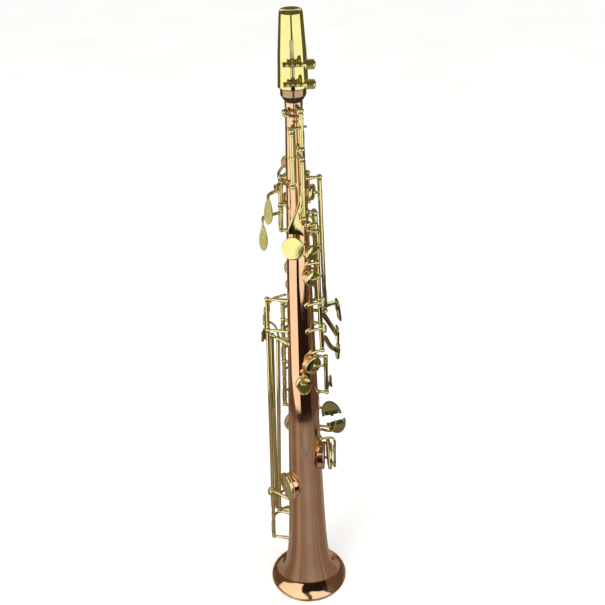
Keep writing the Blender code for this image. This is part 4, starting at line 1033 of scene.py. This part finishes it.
def make_ligature():
    """The split band with its lugs and screw barrels, and the two thumb screws."""
    inner, low, high, lug_y = 10.6 + GAP, 625, 651, -18.0
    outer = inner + 0.8
    lip = outer + 0.15
    loop = [(inner, low), (lip, low), (lip, low + 1.0), (outer, low + 1.3), (outer, high - 1.3),
            (lip, high - 1.0), (lip, high), (inner, high)]
    band = turned(loop, UPRIGHT, 96, ring=True, fillet=0.15)
    slit = box((0, -12, 640), (0.6, 4, 30))
    barrel = [(0, 0), (2.3, 0), (2.3, 3.0), (2.05, 3.4), (2.05, 4.4), (2.3, 4.8), (2.3, 7.9), (0, 7.9)]
    lugs, holes = [], []
    for z in SCREW_HEIGHTS:
        for side in (-1, 1):
            lugs.append(box((side * 1.15, -14.1, z), (0.5, 3.2, 2.9)))
            lugs.append(turned(barrel, place_at((side * 0.7, lug_y, z), (side, 0, 0)), 32, fillet=0.25))
        through = [(0, -8), (1.3, -8), (1.3, 13), (0, 13)]
        holes.append(turned(through, place_at((0, lug_y, z), (1, 0, 0)), 20))
    apply_booleans(band, [slit], "DIFFERENCE")
    apply_booleans(band, lugs, "UNION")
    apply_booleans(band, holes, "DIFFERENCE")
    finish_object(band, "ligature_band", CAP_BRASS, "mouthpiece", ["ligature"], 30)
    head = [(0, 9.4), (2.2, 9.4), (2.4, 11.0), (4.0, 11.4), (4.45, 12.0), (4.45, 18.6), (3.9, 19.3),
            (2.6, 19.6), (2.0, 20.4), (0, 20.5)]
    for which, z in zip(("upper", "lower"), SCREW_HEIGHTS):
        body, at = f"ligature_screw_{which}", place_at((0, lug_y, z), (1, 0, 0))
        bm = bmesh.new()
        add_lathe(bm, [(0, -6.8), (0.85, -6.8), (1.0, -6.3), (1.0, 9.6), (0, 9.6)], at, 20)
        knurl(bm, at, head, 4.2)
        finish_mesh(bm, f"thumb_screw_{which}", CAP_BRASS, body, [body], 50)


def knurl(bm, place, profile, threshold, sides=56):
    """A turned knob whose widest rings are cut with straight knurling."""
    before = set(bm.verts)
    add_lathe(bm, profile, place, sides, fillet=0.2)
    inverse = place.inverted()
    for vert in set(bm.verts) - before:
        local = inverse @ vert.co
        radius = math.hypot(local.x, local.y)
        step = round(math.atan2(local.y, local.x) / (2 * math.pi) * sides)
        if radius > threshold and step % 2:
            local.x *= 0.955
            local.y *= 0.955
            vert.co = place @ local


def make_cap():
    skin, top = 0.6, CAP_TOP_RADIUS
    crown = [(top - 3.4, CAP_TOP), (top - 1.6, CAP_TOP - 0.4), (top - 0.5, CAP_TOP - 1.5)]
    side = [(top, CAP_TOP - 3.4), (13.0, 652), (CAP_RADIUS - 0.15, CAP_BOTTOM + 2.2),
            (CAP_RADIUS, CAP_BOTTOM + 1.6), (CAP_RADIUS, CAP_BOTTOM)]
    inside = [(r - skin, z) for r, z in reversed(side)] + [(top - 2.2, CAP_TOP - 1.7), (0, CAP_TOP - 1.2)]
    cap = turned([(0, CAP_TOP)] + crown + side + inside, UPRIGHT, 128, fillet=0.6)
    outline = filleted([(-1.9, -40), (1.9, -40), (1.9, 14), (-1.9, 14)], 1.85, 6, closed=True)
    slot = raw(lambda bm: add_slab(bm, outline, facing((0, -15, 652), (0, -1, 0)), 12, 0.02))
    apply_booleans(cap, [slot], "DIFFERENCE")
    finish_object(cap, "cap_shell", CAP_BRASS, "mouthpiece_cap", ["mouthpiece_cap"], 30)


def make_rollers():
    for name in ("low_eb_roller", "low_c_roller"):
        spec = KEYS[name.replace("roller", "key")]
        one = spec["touches"][0]
        inward = 1 if one["shape"] == "half_up" else -1
        place = facing(one["centre"], one["normal"], one["spin"])
        turn = rest_turn(spec)
        centre = turn @ (place @ Vector((0, inward * ROLLER_INSET, 0)))
        along = turn.to_3x3() @ (place.to_3x3() @ Vector((1, 0, 0)))
        half, radius = ROLLER_LENGTH / 2, ROLLER_RADIUS
        end = [(radius, half - 2.2), (radius - 0.1, half - 1.2), (1.5, half), (0, half)]
        bm = bmesh.new()
        add_lathe(bm, [(r, -z) for r, z in reversed(end)] + end, place_at(centre, along), 40, fillet=0.4)
        finish_mesh(bm, name + "_barrel", ROLLER_BLACK, name, [name])


# ---------------------------------------------------------------- stage, light and camera
def arc_panel(name, rows, colour, strength, reach=0.36):
    """A studio panel curved round the object; each row of it is (height, first angle, last angle)."""
    bm = bmesh.new()
    count = 24
    grid = [[bm.verts.new(around(start + (end - start) * k / count, reach, z)) for k in range(count + 1)]
            for z, start, end in rows]
    for lower, upper in zip(grid, grid[1:]):
        for k in range(count):
            bm.faces.new([lower[k], lower[k + 1], upper[k + 1], upper[k]])
    stage_panel(bm, name, colour, strength)


def disc_panel(name, radius, height, colour):
    bm = bmesh.new()
    place = Matrix.Translation((0, 0, height))
    bmesh.ops.create_circle(bm, cap_ends=True, segments=64, radius=radius, matrix=place)
    stage_panel(bm, name, colour, 1.0)


def painted_reflection_patch(name, corners, colour, height):
    """A patch of painted reflection lying on the table, seen only in the metal's reflections: corners are
    (angle, distance) from the tube's axis.
    """
    bm = bmesh.new()
    bm.faces.new([bm.verts.new(around(a, reach, height)) for a, reach in corners])
    stage_panel(bm, name, colour, 1.0)


def stage_panel(bm, name, colour, strength):
    """A glowing panel that only reflections show."""
    mesh = bpy.data.meshes.new(name)
    bm.to_mesh(mesh)
    bm.free()
    obj = bpy.data.objects.new(name, mesh)
    bpy.context.scene.collection.objects.link(obj)
    material = bpy.data.materials.new(name)
    material.use_nodes = True
    tree = material.node_tree
    tree.nodes.clear()
    glow, out = tree.nodes.new("ShaderNodeEmission"), tree.nodes.new("ShaderNodeOutputMaterial")
    glow.inputs["Color"].default_value = (*colour, 1)
    glow.inputs["Strength"].default_value = strength
    tree.links.new(glow.outputs["Emission"], out.inputs["Surface"])
    mesh.materials.append(material)
    obj.visible_camera = obj.visible_diffuse = obj.visible_shadow = False
    obj.visible_transmission = obj.visible_volume_scatter = False


def make_stage():
    bm = bmesh.new()
    bmesh.ops.create_circle(bm, cap_ends=True, segments=96, radius=9.0)
    mesh = bpy.data.meshes.new("floor")
    bm.to_mesh(mesh)
    bm.free()
    floor = bpy.data.objects.new("floor", mesh)
    bpy.context.scene.collection.objects.link(floor)
    material, tree, shader = new_material("pale_floor")
    tone = noise(tree, 3, 2)
    tree.links.new(ramp(tree, tone, [(0.3, 0.93), (0.7, 0.97)]), shader.inputs["Base Color"])
    shader.inputs["Roughness"].default_value = 0.7
    mesh.materials.append(material)

    left = [(0.03, -50, -20), (0.09, -92, -26), (0.24, -104, -26), (0.39, -103, -12.3),
            (0.44, -103, -12.3), (0.47, -103, -6), (0.68, -103, -6)]
    right = [(0.222, 6, 14), (0.25, -2, 45), (0.45, 9, 92), (0.68, 9, 92)]
    arc_panel("softbox_left", left, (1.0, 0.95, 0.80), 1.3)
    arc_panel("softbox_right", right, (1.0, 0.97, 0.84), 1.25)
    for name, low, high, start, end, colour, strength, reach in (
        ("dark_low", 0.0, 0.3, -50, 60, (0.022, 0.013, 0.009), 1.0, 0.37),
        ("dark_low_sides", 0.0, 0.3, 60, 310, (0.13, 0.085, 0.06), 1.0, 0.37),
        ("dark_high", 0.3, 0.8, 0, 360, (0.115, 0.10, 0.045), 1.0, 0.37),
        ("slit_light", 0.0, 0.8, 196, 206, (1.0, 0.95, 0.85), 1.3, 0.36),
        ("back_high", 0.8, 1.05, 130, 230, (1.0, 0.97, 0.80), 0.9, 0.37),
        ("front_high", 0.8, 1.05, -130, 130, (0.10, 0.085, 0.04), 1.0, 0.37),
    ):
        arc_panel(name, [(low, start, end), (high, start, end)], colour, strength, reach)
    disc_panel("ceiling", 0.38, 1.05, (0.10, 0.085, 0.045))
    # painted reflection: a dim brown disc on the floor that only reflections show, so the metal reflects a
    # darker table than the camera sees
    disc_panel("painted_table_reflection", 0.5, 0.0005, (0.33, 0.27, 0.225))
    # painted reflections: light and dark streaks and dark wedges on the table, seen only in the metal
    near, far = 0.03, 0.5
    for start, end, colour in (
        (-95, -66, (0.25, 0.18, 0.13)), (-58, -36, (0.42, 0.33, 0.26)), (-36, -30, (0.27, 0.21, 0.17)),
        (-8, 24, (0.38, 0.345, 0.31)), (52, 54.5, (0.12, 0.07, 0.045)), (66, 110, (0.26, 0.19, 0.145)),
    ):
        painted_reflection_patch("painted_reflection_streak", [(start, near), (end, near), (end, far), (start, far)], colour, 0.001)
    for first, middle, last, tip in ((-34, 8, 48, 0.284), (66, 98, 130, 0.30)):
        wedge = [(first, 0.385), (middle, tip), (last, 0.385)]
        painted_reflection_patch("painted_dark_reflection_wedge", wedge, (0.012, 0.008, 0.006), 0.0015)


def make_lights():
    world = bpy.data.worlds.new("studio")
    world.use_nodes = True
    background = world.node_tree.nodes["Background"]
    background.inputs["Color"].default_value = (1.0, 0.99, 0.97, 1)
    background.inputs["Strength"].default_value = 1.0
    bpy.context.scene.world = world
    middle = Vector((0, 0, 0.35))
    lights = (("key_light", (-1.3, -1.6, 2.2), 1.6, 26), ("fill_light", (1.8, -0.9, 1.6), 1.4, 10))
    for name, place, size, power in lights:
        lamp = bpy.data.lights.new(name, "AREA")
        lamp.energy, lamp.size, lamp.shape = power, size, "DISK"
        lamp.color = (1.0, 0.98, 0.95)
        obj = bpy.data.objects.new(name, lamp)
        obj.location = place
        obj.rotation_euler = (middle - Vector(place)).to_track_quat("-Z", "Y").to_euler()
        bpy.context.scene.collection.objects.link(obj)


def make_camera():
    """The view: its downward tilt, roll and yaw are in radians, and its place in metres."""
    tilt, roll, yaw = 0.532484, -0.031333, 0.0031615
    forward = Vector((math.sin(yaw) * math.cos(tilt), math.cos(yaw) * math.cos(tilt), -math.sin(tilt)))
    right = forward.cross(Vector((0, 0, 1))).normalized()
    up = right.cross(forward)
    across = right * math.cos(roll) + up * math.sin(roll)
    above = up * math.cos(roll) - right * math.sin(roll)
    data = bpy.data.cameras.new("camera")
    data.sensor_width = 36
    data.lens = 52.46
    camera = bpy.data.objects.new("camera", data)
    matrix = Matrix((across, above, -forward)).transposed().to_4x4()
    matrix.translation = Vector((0, -0.78416, 0.85703))
    camera.matrix_world = matrix
    bpy.context.scene.collection.objects.link(camera)
    bpy.context.scene.camera = camera


top_collar = [(6.9, BODY_TOP - 6), (8.1, BODY_TOP - 6), (8.4, BODY_TOP - 5), (8.4, BODY_TOP - 1)]
top_collar += [(8.0, BODY_TOP), (6.9, BODY_TOP)]
make_wall("body_tube_shell", BELL_JOINT + GAP / 2, BODY_TOP - 1, 24, COPPER, "body_tube", top_collar)
make_wall("bell_shell", 0.6, BELL_JOINT - GAP / 2, 4, BELL_COPPER, "bell")
make_rim()
make_posts()
make_rods()
make_springs()
for key_name, key_spec in KEYS.items():
    make_key(key_name, key_spec)
make_rollers()
make_thumb_rest()
make_thumb_hook()
make_strap_ring()
make_guard()
make_mouthpiece()
make_reed()
make_cork()
make_ligature()
make_cap()
bpy.context.scene.view_settings.view_transform = "Standard"
make_stage()
make_lights()
make_camera()
